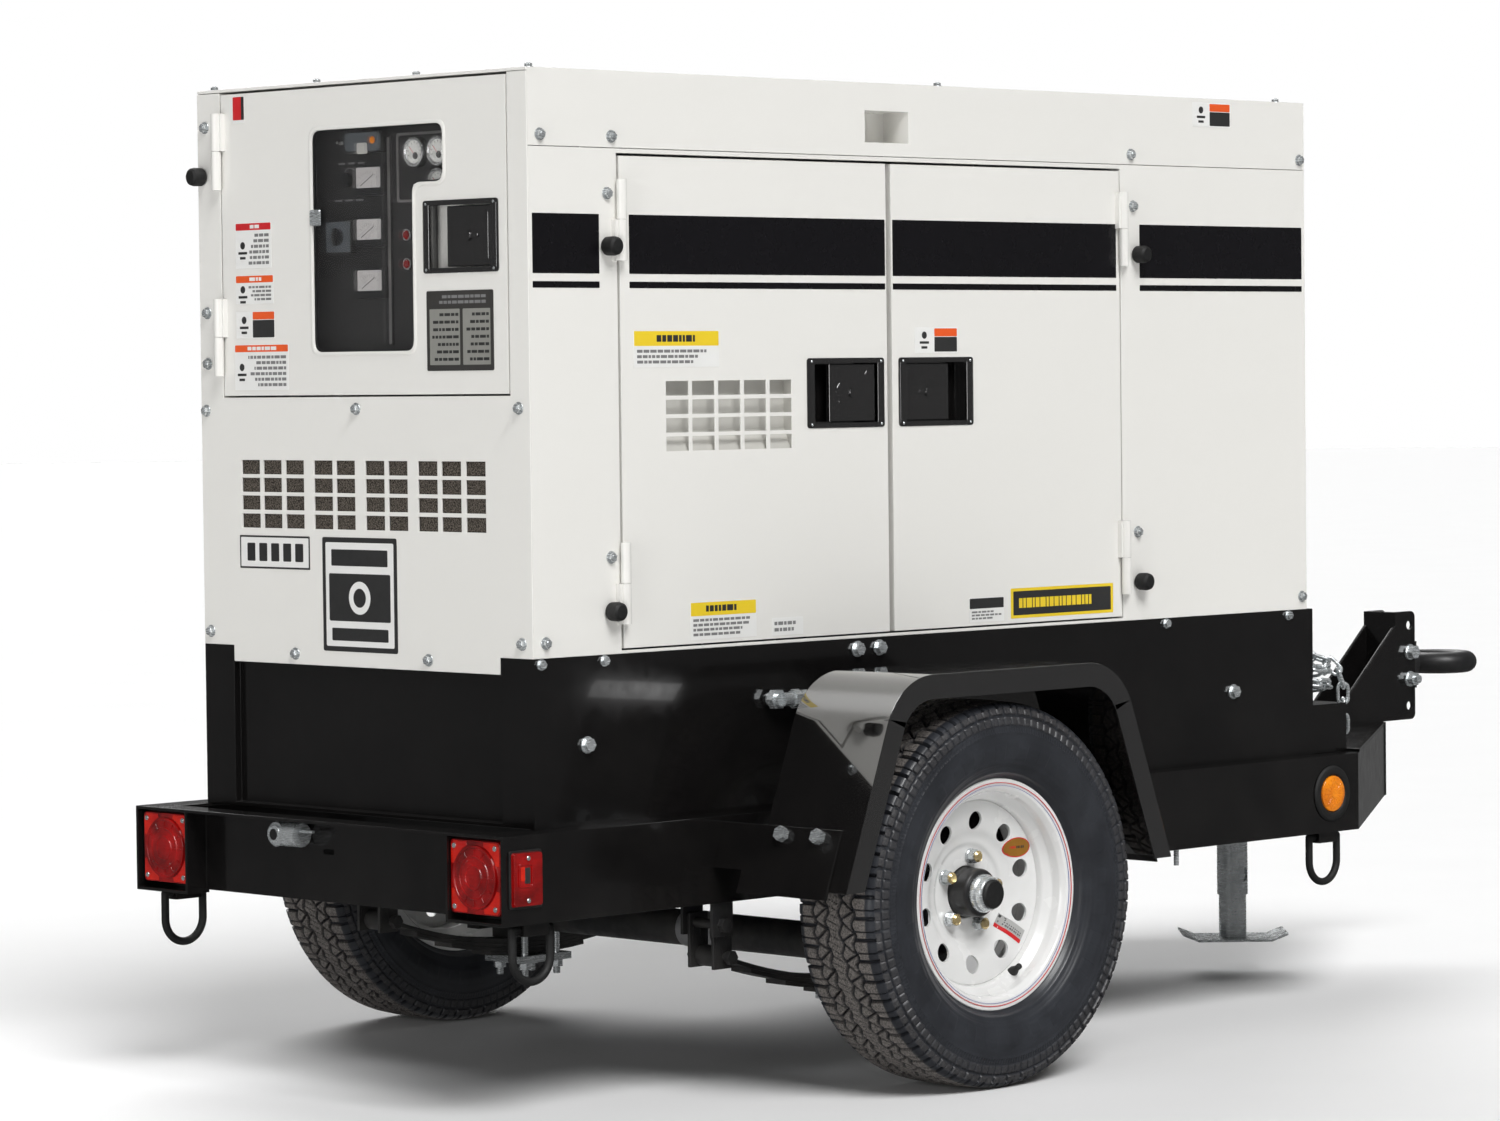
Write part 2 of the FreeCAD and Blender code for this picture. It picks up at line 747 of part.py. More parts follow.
def hitch_bolts():
    """Two bolts across the riser, with head, nut and washers outside its cheeks."""
    bolts = []
    for step_number, flip in ((0.5, 1), (-0.5, -1)):
        height = D.eye_height + D.hole_pitch * step_number
        reach = 62
        start = 8 - reach if flip == 1 else -reach
        shank = rod(8, (RISER_HOLE_X, start, height), 2 * reach - 8, "y")
        washers = [
            rod(15, (RISER_HOLE_X, -RISER_HALF - 3, height), 3, "y"),
            rod(15, (RISER_HOLE_X, RISER_HALF, height), 3, "y"),
        ]
        caps = [
            hexagon(27, (RISER_HOLE_X, -RISER_HALF - 16, height), 13, "y"),
            hexagon(27, (RISER_HOLE_X, RISER_HALF + 3, height), 13, "y"),
        ]
        bolts.append(fuse(shank, *washers, *caps))
    return bolts


def drain_fitting(x, z):
    """A pipe elbow and hexagon plug standing out of the base."""
    face = -D.body_side
    return fuse(
        rod(11, (x, face - 26, z), 26, "y"),
        hexagon(34, (x, face - 20, z), 12, "y"),
        rod(11, (x, face - 26, z), 52, "x"),
        hexagon(30, (x + 22, face - 26, z), 16, "x"),
        hexagon(26, (x + 44, face - 26, z), 12, "x"),
    )


def plate_lamp():
    """A plated barrel on the rear web with its bent rod."""
    web = D.frame_rear + D.web_recess
    return fuse(
        rod(19, (web - 34, 95, 413), 34, "x"),
        rod(19, (web - 20, 48, 413), 62, "y"),
        rod(3, (web - 22, 18, 420), 34, "y"),
    )


# ---------------------------------------------------------------- running gear

def axle_beam():
    """Dropped tube with end plates, spindles and spring pads."""
    drop = 485
    x, z = D.axle_x, D.axle_height
    members = [rod(D.axle_tube, (x, -drop - 3, z), 2 * drop + 6, "y")]
    reach = D.wheel_side + 37
    for side in (LEFT, RIGHT):
        members.append(side_block(side, (x - 38, x + 38), (drop, drop + 30), (z - 34, D.wheel_radius + 36)))
        start = drop + 29 if side == LEFT else -reach
        members.append(rod(D.spindle, (x, start, D.wheel_radius), reach - (drop + 29), "y"))
        collar = drop + 29 if side == LEFT else -(drop + 29) - 46
        members.append(rod(30, (x, collar, D.wheel_radius), 46, "y"))
        pad = side_block(side, (x - 60, x + 60), (D.spring_side - 25, D.spring_side + 25),
                         (D.leaf_top - 5, z - 18))
        curve = rod(D.leaf_radius - 0.1, (x, D.spring_side * side - 30, D.leaf_top + D.leaf_radius), 60, "y")
        members.append(common(pad, curve))
    return fuse(*members)


def spring(side):
    """Main leaf with two eyes, and three shorter leaves below it."""
    y = D.spring_side * side - D.leaf_width / 2
    centre = (D.axle_x, y, D.leaf_top + D.leaf_radius)
    leaves = []
    gap = 0.2
    for number, reach in enumerate((D.spring_reach, 272, 195, 110)):
        inner = D.leaf_radius + (D.leaf + gap) * number
        ring = cut(rod(inner + D.leaf, centre, D.leaf_width, "y"), rod(inner, centre, D.leaf_width, "y"))
        window = block((D.axle_x - reach, y, 100), (D.axle_x + reach, y + D.leaf_width, 260))
        leaves.append(common(ring, window))
    eyes = [rod(17, (D.axle_x + D.spring_reach * way, y, D.eye_z), D.leaf_width, "y") for way in (-1, 1)]
    bores = [rod(8, (D.axle_x + D.spring_reach * way, y, D.eye_z), D.leaf_width, "y") for way in (-1, 1)]
    leaves[0] = cut(fuse(leaves[0], *eyes), *bores)
    return leaves


def hanger(side, way):
    """Ears under the rail with a bolt; behind the axle a shackle hangs between them and the eye."""
    middle = D.spring_side * side
    x = D.axle_x + D.spring_reach * way
    half = D.leaf_width / 2
    bolt_z = D.eye_z
    members = []
    head_y = 42
    if way == 1:
        for y in (middle - half - 7, middle + half + 1):
            members.append(block((x - 24, y, D.eye_z - 22), (x + 24, y + 6, D.rail_low)))
        members.append(rod(7.5, (x, middle - head_y, bolt_z), 2 * head_y, "y"))
        members.append(hexagon(24, (x, middle - head_y, bolt_z), 9, "y"))
        members.append(hexagon(24, (x, middle + head_y - 9, bolt_z), 9, "y"))
        return [fuse(*members)]
    top_x, top_z = x - 12, 268
    for y in (middle - half - 14, middle + half + 8):
        members.append(block((top_x - 22, y, top_z - 18), (top_x + 22, y + 6, D.rail_low)))
    members.append(rod(7.5, (top_x, middle - head_y, top_z), 2 * head_y, "y"))
    for bolt_x, bolt_z in ((top_x, top_z), (x, D.eye_z)):
        members.append(hexagon(24, (bolt_x, middle - head_y - 4, bolt_z), 10, "y"))
        members.append(hexagon(24, (bolt_x, middle + head_y - 6, bolt_z), 10, "y"))
    for y in (middle - half - 7, middle + half + 1):
        members.append(block((x - 26, y, D.eye_z - 18), (x + 14, y + 6, top_z + 16)))
    members.append(rod(7.5, (x, middle - head_y, D.eye_z), 2 * head_y, "y"))
    return [fuse(*members)]


def u_bolts(side):
    """Two U-bolts over the axle tube, their nuts, and the clamp plate under the leaves."""
    middle = D.spring_side * side
    leg, half_x, half_y = 6, 37, 32
    low = 95
    plate_top = D.leaf_top - 4 * (D.leaf + 0.2) - 0.2
    plate_low = plate_top - 12
    up = Rotation(Vector(1, 0, 0), 90)
    bolts, holes = [], []
    for offset in (-half_y, half_y):
        y = middle + offset
        legs = [rod(leg, (D.axle_x + way * half_x, y, low), D.axle_height - low) for way in (-1, 1)]
        nuts = [hexagon(22, (D.axle_x + way * half_x, y, plate_low - 12.2), 12) for way in (-1, 1)]
        bolts.append(fuse(*legs, *nuts, torus(half_x, leg, (D.axle_x, y, D.axle_height), up, 180)))
        holes += [rod(leg + 0.3, (D.axle_x + way * half_x, y, plate_low - 1), 14) for way in (-1, 1)]
    plate = block((D.axle_x - 60, middle - 45, plate_low), (D.axle_x + 60, middle + 45, plate_top))
    return bolts + [cut(plate, *holes)]


RIM_BARREL = [
    (182.5, 63), (182.5, 59.5), (170, 58), (165, 50), (165, 34), (150, 24),
    (150, -20), (165, -32), (165, -50), (170, -58), (182.5, -59.5), (182.5, -63),
    (179, -63), (167, -61), (161.5, -51), (161.5, -34.5), (146.5, -22.5),
    (146.5, 26), (161.5, 36), (161.5, 51), (167, 61), (179, 63),
]
RIM_DISC = [
    (41, -3), (78, -3), (90, 4), (100, 12), (128, 15), (146.9, 17),
    (146.9, 11), (128, 9.5), (102, 7), (92, -1), (80, -8), (41, -8),
]
TYRE_HALF = [(165.5, 48.5), (171, 57), (183.2, 58.8), (186, 66), (205, 80), (235, 87.5), (270, 84), (290, 78),
             (301, 70), (305, 55)]
TYRE_INSIDE = [(292, 60), (285, 76), (230, 78), (182, 50), (167, 36)]


def wheel_spot():
    return (D.axle_x, -D.wheel_side, D.wheel_radius)


def rim():
    """Right-hand steel rim: barrel and dished disc with ten vents and five stud holes."""
    body = spun("rim", [RIM_BARREL, RIM_DISC], wheel_spot())
    hole_ring(body, "vents", 10, 114, 14.5, 15.5)
    hole_ring(body, "stud_holes", 5, 57.15, 7, 8)
    return body


def tyre():
    """Right-hand tyre, from bead to bead round the tread."""
    outside = TYRE_HALF + [(radius, -outward) for radius, outward in reversed(TYRE_HALF)]
    inside = [(radius, -outward) for radius, outward in reversed(TYRE_INSIDE)] + TYRE_INSIDE
    return spun("tyre", [outside + inside], wheel_spot())


def hub():
    """Right-hand hub with its dust cap and five studs with nuts."""
    bore = D.spindle + 0.06
    shell_points = [
        (bore, -58), (38, -58), (38, -18), (72, -18), (72, -8.2), (38, -8.2), (38, 31.5), (bore, 31.5),
    ]
    cap_points = [
        (27, 31.7), (30, 31.7), (30, 45), (23.5, 47), (23.5, 61.5), (0, 61.5), (0, 58.5), (20.8, 58.5),
        (20.8, 44), (27, 43),
    ]
    members = [spun("hub_shell", [shell_points], wheel_spot()), spun("dust_cap", [cap_points], wheel_spot())]
    for number in range(5):
        angle = math.radians(8 + 72 * number)
        x = D.axle_x + 57.15 * math.cos(angle)
        z = D.wheel_radius + 57.15 * math.sin(angle)
        stud = rod(6.5, (x, -D.wheel_side - 24, z), 24 + 8.1, "y")
        nut = hexagon(22, (x, -D.wheel_side - 16, z), 16 + 2.9, "y")
        members.append(fuse(stud, nut))
    return group(*members)


# ---------------------------------------------------------------- jack

JACK_TOP = 730


def jack_tube():
    """Outer tube with its mounting flange, a gear head and the crank's bush."""
    low = 144
    bore = D.jack_inner + 0.07
    outer = fuse(
        rod(D.jack_outer, (D.jack_x, 0, low), JACK_TOP - low),
        rod(56, (D.jack_x, 0, D.rail_top + D.plate), 8),
        rod(36, (D.jack_x, 0, 690), 60),
        rod(16, (D.jack_x, 0, 712), 52, "x"),
    )
    pin_hole = rod(13, (D.jack_x, -60, 182), 60, "y")
    crank_bore = rod(8.06, (D.jack_x + 36, 0, 712), 20, "x")
    return cut(outer, rod(bore, (D.jack_x, 0, low - 1), 560), pin_hole, crank_bore)


def jack_leg():
    """Inner tube and a foot plate whose ends turn up."""
    wall = 3
    foot = D.jack_foot
    leg = tube(D.jack_inner, D.jack_inner - wall, (D.jack_x, 0, foot + 3), 460)
    flat_half, end_half, rise = 68, 98, 12
    points = [
        (-flat_half, 0), (flat_half, 0), (end_half, rise), (end_half, rise + 4),
        (flat_half, 4), (-flat_half, 4), (-end_half, rise + 4), (-end_half, rise),
    ]
    half_wide = 60
    plate = padded("foot_plate", "XZ_Plane", points, 2 * half_wide)
    turn = Rotation(Vector(0, 0, 1), -45)
    offset = turn.multVec(Vector(0, half_wide, 0))
    place(plate, (D.jack_x + offset.x, offset.y, foot), turn)
    return fuse(leg, plate)


def jack_crank():
    """Crank shaft, arm and grip on the front of the gear head."""
    shaft_start = D.jack_x + 37
    arm_x = D.jack_x + 54
    return fuse(
        rod(8, (shaft_start, 0, 712), 30, "x"),
        block((arm_x, -9, 566), (arm_x + 8, 9, 724)),
        rod(6, (arm_x, 0, 575), 100, "x"),
        rod(13, (arm_x + 14, 0, 575), 86, "x"),
    )


# ---------------------------------------------------------------- base and enclosure

def base_pan():
    """Black base tub with rear posts and a panel set back between them."""
    outer = block((D.body_rear, -D.body_side, D.rail_top), (D.base_front, D.body_side, D.base_top))
    inside = block((D.body_rear + 15, -D.body_side + D.skin, D.rail_top + D.skin),
                   (D.base_front - D.skin, D.body_side - D.skin, D.base_top + 1))
    recess = block((D.body_rear - 1, -D.post_in, D.rail_top + 6),
                   (D.body_rear + 12, D.post_in, D.base_top + 1))
    return cut(outer, inside, recess)


def fuel_tank():
    return shell((-1250, -370, 450), (490, 370, D.tank_top), 3)


GRILLE_COLUMNS = (-270.5, -214, -159, -88.5, -33.5, 37.5, 92, 162.5, 218, 272.5)
GRILLE_ROWS = (900.5, 929.5, 958, 986.5)
SLOT_WIDE = 46
SLOT_HIGH = 22.5


def rear_frame():
    """Rear panel with the control opening, its folded jambs and the air inlet grille."""
    face, back = D.body_rear, D.body_rear + D.skin
    gap = 3
    left, right = D.control_left + gap, D.control_right - gap
    low = D.control_low - gap
    top = D.roof - 6
    panel = block((face, -D.body_side, D.base_top), (back, D.body_side, top))
    skirt = block((face, -D.post_in + 1, D.panel_low), (back, D.post_in - 1, D.base_top))
    opening = block((face - 1, right, low), (back + 1, left, top + 1))
    jamb_back = back + 26
    jambs = [
        block((back, left, low - D.skin), (jamb_back, left + D.skin, top)),
        block((back, right - D.skin, low - D.skin), (jamb_back, right, top)),
        block((back, right, low - D.skin), (jamb_back, left, low)),
    ]
    slots = [
        block((face - 1, y - SLOT_WIDE / 2, z - SLOT_HIGH / 2),
              (back + 1, y + SLOT_WIDE / 2, z + SLOT_HIGH / 2))
        for y in GRILLE_COLUMNS for z in GRILLE_ROWS
    ]
    return cut(fuse(panel, skirt, *jambs), opening, *slots)


def side_panel():
    """Right-hand panel round the door opening, with folded jambs."""
    back, front = D.body_rear + D.skin, D.body_front - D.skin
    outer, inner = -D.body_side, -D.body_side + D.skin
    hole_rear, hole_front = D.door_rear - D.door_gap, D.door_front + 3
    hole_low, hole_top = D.door_low - 3, D.door_top + 4
    depth = D.door_depth + 5
    panel = block((back, outer, D.base_top), (front, inner, D.seam))
    opening = block((hole_rear, outer - 1, hole_low), (hole_front, inner + 1, hole_top))
    jambs = [
        block((hole_rear - D.skin, inner, D.base_top), (hole_rear, outer + depth, D.seam)),
        block((hole_front, inner, D.base_top), (hole_front + D.skin, outer + depth, D.seam)),
    ]
    return fuse(cut(panel, opening), *jambs)


def roof_cover():
    """Roof sheet with deep side fascias, each with a lifting slot and the pocket behind it."""
    back, front = D.body_rear + D.skin, D.body_front - D.skin
    top = block((D.body_rear, -D.body_side, D.roof - 5), (D.body_front, D.body_side, D.roof))
    slot_x, slot_z = (-620, -518), (1498, 1549)
    members = [top]
    tools = []
    for side in (LEFT, RIGHT):
        members.append(side_block(side, (back, front), (D.body_side - D.skin, D.body_side),
                                  (D.seam + 1, D.roof - 5)))
        members.append(side_block(side, (slot_x[0] - 6, slot_x[1] + 6),
                                  (D.body_side - 60, D.body_side - D.skin),
                                  (slot_z[0] - 6, slot_z[1] + 6)))
        tools.append(side_block(side, slot_x, (D.body_side - 57, D.body_side + 1), slot_z))
    return cut(fuse(*members), *tools)


def front_panel():
    """Front sheet with rows of discharge louvres."""
    face, back = D.body_front, D.body_front - D.skin
    sheet_metal = block((back, -D.body_side, D.base_top), (face, D.body_side, D.roof - 6))
    slots = [
        block((back - 1, y - 140, z), (face + 1, y + 140, z + 22))
        for y in (-160, 160) for z in range(860, 1360, 50)
    ]
    return cut(sheet_metal, *slots)


# ---------------------------------------------------------------- doors, hinges, latches

HINGE_SPOTS = ((1303, 1366, 1428), (745, 807, 870))
CONTROL_HINGES = ((1432, 1494, 1555), (1133, 1195, 1257))
POCKET_MIDDLE = 1095
PANEL_DOORS = {"rear": (-759, -583), "front": (-547, -371)}
CONTROL_POCKET = (-330, -158)
CONTROL_MIDDLE = 1343
PADDLE_LONG = 130
PADDLE_HALF = 48
PADDLE_HEEL = 7
PADDLE_PIN = 3
PADDLE_PIN_HALF = 54.8
PADDLE_INSET = 3
PIN_SETBACK = 13
CONTROL_PIN_Y = CONTROL_POCKET[0] + PIN_SETBACK


def paddle_pin(end):
    """X of a side latch's pin, near the edge where the two doors meet."""
    low_x, high_x = PANEL_DOORS[end]
    return high_x - PIN_SETBACK if end == "rear" else low_x + PIN_SETBACK


def knuckle_half(axis_x, axis_y, low, high, tab_low, tab_high, bore=None):
    """One barrel of a lift-off hinge with the tab that welds it to its sheet."""
    tab = block((*tab_low, low), (*tab_high, high))
    barrel = fuse(rod(D.knuckle, (axis_x, axis_y, low), high - low), tab)
    if bore is None:
        return barrel
    return cut(barrel, rod(bore, (axis_x, axis_y, low - 1), high - low + 2))


def side_axis(end):
    """X of a side door's hinge axis and the way the door lies from it."""
    if end == "rear":
        return D.door_rear - 3, 1
    return D.door_front + 1.5, -1


def side_door(end):
    """Right-hand door: folded sheet with a latch pocket, and at the rear a grille."""
    low_x, high_x = (D.door_rear, D.door_split_rear) if end == "rear" else (D.door_split_front, D.door_front)
    outer, inner = -D.body_side, -D.body_side + D.door_depth
    skin = D.door_skin
    pan = shell((low_x, outer, D.door_low), (high_x, inner, D.door_top), skin, "+y")
    pocket_x = PANEL_DOORS[end]
    pocket_z = (POCKET_MIDDLE - D.pocket_high / 2, POCKET_MIDDLE + D.pocket_high / 2)
    tub = block((pocket_x[0], outer + 0.5, pocket_z[0]),
                (pocket_x[1], outer + D.pocket_deep + skin, pocket_z[1]))
    hollow = block((pocket_x[0] + skin, outer - 1, pocket_z[0] + skin),
                   (pocket_x[1] - skin, outer + D.pocket_deep, pocket_z[1] - skin))
    axis_x, way = side_axis(end)
    axis_y = outer - D.knuckle_out
    members = [pan, tub]
    for _, middle, high in HINGE_SPOTS:
        tab = sorted((axis_x + way * 2, axis_x + way * 12), key=lambda item: item.value)
        members.append(knuckle_half(axis_x, axis_y, middle + 0.5, high,
                                    (tab[0], axis_y), (tab[1], outer + 0.5)))
    pin_bore = rod(PADDLE_PIN + 0.05, (paddle_pin(end), outer + PADDLE_INSET + 4, pocket_z[0] - 1), 112)
    tools = [hollow, pin_bore]
    for _, middle, high in HINGE_SPOTS:
        tools.append(rod(D.hinge_pin + 0.06, (axis_x, axis_y, middle - 1), high - middle + 2))
    if end == "rear":
        for x in (-1046.5, -990, -933, -876, -819):
            for z in (1020, 1048.5, 1077, 1106):
                tools.append(block((x - 24.5, outer - 1, z - SLOT_HIGH / 2),
                                   (x + 24.5, outer + skin + 1, z + SLOT_HIGH / 2)))
    return cut(fuse(*members), *tools)


def control_door():
    """Rear door with an L-shaped window opening, a latch pocket and two hinge barrels."""
    face, inner = D.body_rear, D.body_rear + D.door_depth
    skin = D.door_skin
    pan = shell((face, D.control_right, D.control_low), (inner, D.control_left, D.control_top), skin, "+x")
    pocket_y = CONTROL_POCKET
    pocket_z = (CONTROL_MIDDLE - D.pocket_high / 2, CONTROL_MIDDLE + D.pocket_high / 2)
    tub = block((face + 0.5, pocket_y[0], pocket_z[0]), (face + D.pocket_deep, pocket_y[1], pocket_z[1]))
    hollow = block((face - 1, pocket_y[0] + skin, pocket_z[0] + skin),
                   (face + D.pocket_deep - skin, pocket_y[1] - skin, pocket_z[1] - skin))
    axis_x, axis_y = face - D.knuckle_out, D.control_left + 1.5
    members = [pan, tub]
    tools = [
        hollow,
        rod(PADDLE_PIN + 0.05, (face + PADDLE_INSET + 4, CONTROL_PIN_Y, pocket_z[0] - 1), 112),
        block((face - 1, D.window_right, D.window_step), (face + skin + 1, D.window_left, D.window_top)),
        block((face - 1, D.window_notch, D.window_low), (face + skin + 1, D.window_left, D.window_step)),
    ]
    for _, middle, high in CONTROL_HINGES:
        members.append(knuckle_half(axis_x, axis_y, middle + 0.5, high,
                                    (axis_x, axis_y - 12), (face + 0.5, axis_y - 2)))
        tools.append(rod(D.hinge_pin + 0.06, (axis_x, axis_y, middle - 1), high - middle + 2))
    return cut(fuse(*members), *tools)


def control_window():
    """Clear pane behind the window opening, L-shaped with a margin."""
    back = D.body_rear + D.door_skin
    margin, thickness = 9, 3
    return fuse(
        block((back, D.window_right - margin, D.window_step - margin),
              (back + thickness, D.window_left + margin, D.window_top + margin)),
        block((back, D.window_notch - margin, D.window_low - margin),
              (back + thickness, D.window_left + margin, D.window_step)),
    )


def hinge_halves():
    """Fixed barrels with their pins, for the four side doors and the control door."""
    members = []
    for end in ("rear", "front"):
        axis_x, way = side_axis(end)
        for side in (LEFT, RIGHT):
            axis_y = (D.body_side + D.knuckle_out) * side
            near = D.body_side * side
            ys = sorted((axis_y, near), key=lambda item: item.value)
            tab = sorted((axis_x - way * 4, axis_x - way * 14), key=lambda item: item.value)
            for low, middle, high in HINGE_SPOTS:
                barrel = knuckle_half(axis_x, axis_y, low, middle, (tab[0], ys[0]), (tab[1], ys[1]))
                members.append(fuse(barrel, rod(D.hinge_pin, (axis_x, axis_y, low), high - 4 - low)))
    face = D.body_rear
    axis_x, axis_y = face - D.knuckle_out, D.control_left + 1.5
    for low, middle, high in CONTROL_HINGES:
        barrel = knuckle_half(axis_x, axis_y, low, middle, (axis_x, axis_y + 4), (face, axis_y + 14))
        members.append(fuse(barrel, rod(D.hinge_pin, (axis_x, axis_y, low), high - 4 - low)))
    return group(*members)


def side_paddle(end):
    """Right-hand latch paddle with its upright pin at the end near the door's free edge."""
    outer = -D.body_side + PADDLE_INSET
    pin_x = paddle_pin(end)
    if end == "rear":
        low_x, high_x = pin_x + PADDLE_HEEL - PADDLE_LONG, pin_x + PADDLE_HEEL
    else:
        low_x, high_x = pin_x - PADDLE_HEEL, pin_x - PADDLE_HEEL + PADDLE_LONG
    plate = block((low_x, outer, POCKET_MIDDLE - PADDLE_HALF),
                  (high_x, outer + 5, POCKET_MIDDLE + PADDLE_HALF))
    pin = rod(PADDLE_PIN, (pin_x, outer + 4, POCKET_MIDDLE - PADDLE_PIN_HALF), 2 * PADDLE_PIN_HALF)
    return fuse(plate, pin)


def control_paddle():
    face = D.body_rear + PADDLE_INSET
    low_y = CONTROL_PIN_Y - PADDLE_HEEL
    plate = block((face, low_y, CONTROL_MIDDLE - PADDLE_HALF),
                  (face + 5, low_y + PADDLE_LONG, CONTROL_MIDDLE + PADDLE_HALF))
    pin = rod(PADDLE_PIN, (face + 4, CONTROL_PIN_Y, CONTROL_MIDDLE - PADDLE_PIN_HALF), 2 * PADDLE_PIN_HALF)
    return fuse(plate, pin)


# ---------------------------------------------------------------- controls

METER_Z = (1280, 1360, 1441)
SELECTOR_Y = 75
SELECTOR_Z = 1350
KNOB_Y = 56
KNOB_Z = 1440
TOGGLE_Y = 66
TOGGLE_Z = 1498


def control_panel():
    """Panel box with meters, gauges, lamp, warning lamps, divider, selector box and output studs."""
    face = D.body_rear + D.panel_face
    low_y, high_y, low_z, high_z = -335, 325, 1112, 1572
    members = [shell((face, low_y, low_z), (face + 130, high_y, high_z), 2, "+x")]
    for z in METER_Z:
        members.append(block((face - 12, -37.5, z - 28), (face, 28.5, z + 20)))
    for y, z in ((-112, 1477), (-167, 1477), (-167, 1427)):
        members.append(rod(24, (face - 10, y, z), 10, "x"))
    for z in (1304, 1349):
        members.append(rod(9, (face - 9, -90, z), 9, "x"))
    members.append(block((face - 14, -36, 1481), (face, 50, 1514)))
    members.append(block((face - 4, -46, 1178), (face, -38, 1505)))
    members.append(block((face - 10, SELECTOR_Y - 31, SELECTOR_Z - 26),
                         (face, SELECTOR_Y + 31, SELECTOR_Z + 26)))
    members.append(rod(7, (face - 3, KNOB_Y, KNOB_Z), 3, "x"))
    members.append(rod(8, (face - 4, TOGGLE_Y, TOGGLE_Z), 4, "x"))
    members.append(block((face - 6, 150, 1150), (face, 310, 1230)))
    for number in range(4):
        members.append(rod(6, (face - 12, 170 + 40 * number, 1190), 6, "x"))
    return group(*members)


def panel_selector():
    """Bar handle of the rotary meter selector."""
    face = D.body_rear + D.panel_face - 10
    return fuse(rod(13, (face - 4.2, SELECTOR_Y, SELECTOR_Z), 4, "x"),
                block((face - 9, SELECTOR_Y - 3, SELECTOR_Z - 14),
                      (face - 4, SELECTOR_Y + 3, SELECTOR_Z + 14)))


def panel_knob():
    face = D.body_rear + D.panel_face - 3
    return fuse(rod(11, (face - 9.2, KNOB_Y, KNOB_Z), 9, "x"),
                block((face - 10, KNOB_Y - 1, KNOB_Z), (face - 8, KNOB_Y + 1, KNOB_Z + 10)))


def panel_toggle():
    """Short lever that tips about a cross axis."""
    face = D.body_rear + D.panel_face - 4
    return fuse(rod(3, (face - 3.4, TOGGLE_Y - 5, TOGGLE_Z), 10, "y"),
                rod(2, (face - 13, TOGGLE_Y, TOGGLE_Z), 10, "x"))


# ---------------------------------------------------------------- engine and generator

SHAFT_Z = 930
SHAFT_RADIUS = 25


def engine_block():
    """Block with head, sump, feet, intake cleaner and the bracket-mounted charging alternator body."""
    block_body = fuse(
        block((-600, -150, 800), (-60, 150, 1130)),
        block((-580, -110, 1130), (-80, 110, 1270)),
        block((-560, -120, 720), (-120, 120, 800)),
        rod(75, (-520, -215, 1240), 260, "x"),
        block((-420, -160, 1180), (-340, -100, 1240)),
        block((-560, 120, 652), (-500, 190, 820)), block((-560, -190, 652), (-500, -120, 820)),
        block((-180, 120, 652), (-120, 190, 820)), block((-180, -190, 652), (-120, -120, 820)),
        rod(58, (-190, 212, 1090), 130, "x"),
        block((-150, 140, 1060), (-110, 180, 1110)),
    )
    crankcase = block((-580, -115, 820), (-80, 115, 1105))
    bore = rod(SHAFT_RADIUS + 0.06, (-610, 0, SHAFT_Z), 560, "x")
    small_bore = rod(8.06, (-120, 212, 1090), 70, "x")
    return cut(block_body, crankcase, bore, small_bore)


def alternator_stator():
    """Cylindrical frame with end bells, feet and a terminal box."""
    frame = fuse(
        rod(178, (-1090, 0, SHAFT_Z), 480, "x"),
        block((-1060, 90, 652), (-1000, 170, 830)), block((-1060, -170, 652), (-1000, -90, 830)),
        block((-700, 90, 652), (-640, 170, 830)), block((-700, -170, 652), (-640, -90, 830)),
        block((-960, -110, 1090), (-760, 110, 1190)),
    )
    cavity = rod(122, (-1070, 0, SHAFT_Z), 440, "x")
    return cut(frame, cavity, rod(SHAFT_RADIUS + 0.06, (-1100, 0, SHAFT_Z), 500, "x"))


def crankshaft_fan():
    """Shaft with the generator rotor, drive pulley and a six-bladed fan."""
    members = [
        rod(SHAFT_RADIUS, (-1100, 0, SHAFT_Z), 1180, "x"),
        rod(110, (-1040, 0, SHAFT_Z), 380, "x"),
        rod(70, (-46, 0, SHAFT_Z), 24, "x"),
        rod(48, (20, 0, SHAFT_Z), 46, "x"),
    ]
    for number in range(6):
        blade = block((30, -32, SHAFT_Z), (56, 32, SHAFT_Z + 205))
        turn = Rotation(Vector(1, 0, 0), 60 * number)
        offset = turn.multVec(Vector(0, -32, 0))
        place(blade, (30, offset.y, SHAFT_Z + offset.z), turn)
        members.append(blade)
    return fuse(*members)


def charging_pulley():
    return fuse(rod(8, (-115, 212, 1090), 75, "x"), rod(34, (-46, 212, 1090), 24, "x"))


def radiator():
    """Core between two header tanks, standing on the base."""
    return fuse(
        block((130, -300, 700), (195, 300, 1290)),
        block((120, -300, 1290), (205, 300, 1350)),
        block((120, -300, 652), (205, 300, 700)),
        rod(30, (162, 0, 1350), 20),
    )


def muffler():
    """Silencer can lying across the front bay with its inlet pipe."""
    return fuse(rod(75, (340, -260, 1330), 520, "y"), rod(28, (340, 0, 1180), 150),
                rod(28, (230, 0, 1180), 110, "x"), rod(24, (340, -320, 1330), 60, "y"))


def battery():
    return fuse(block((290, 120, 652), (470, 350, 830)), block((284, 114, 652), (476, 356, 664)),
                rod(9, (320, 160, 830), 16), rod(9, (320, 310, 830), 16))


# ---------------------------------------------------------------- assembly

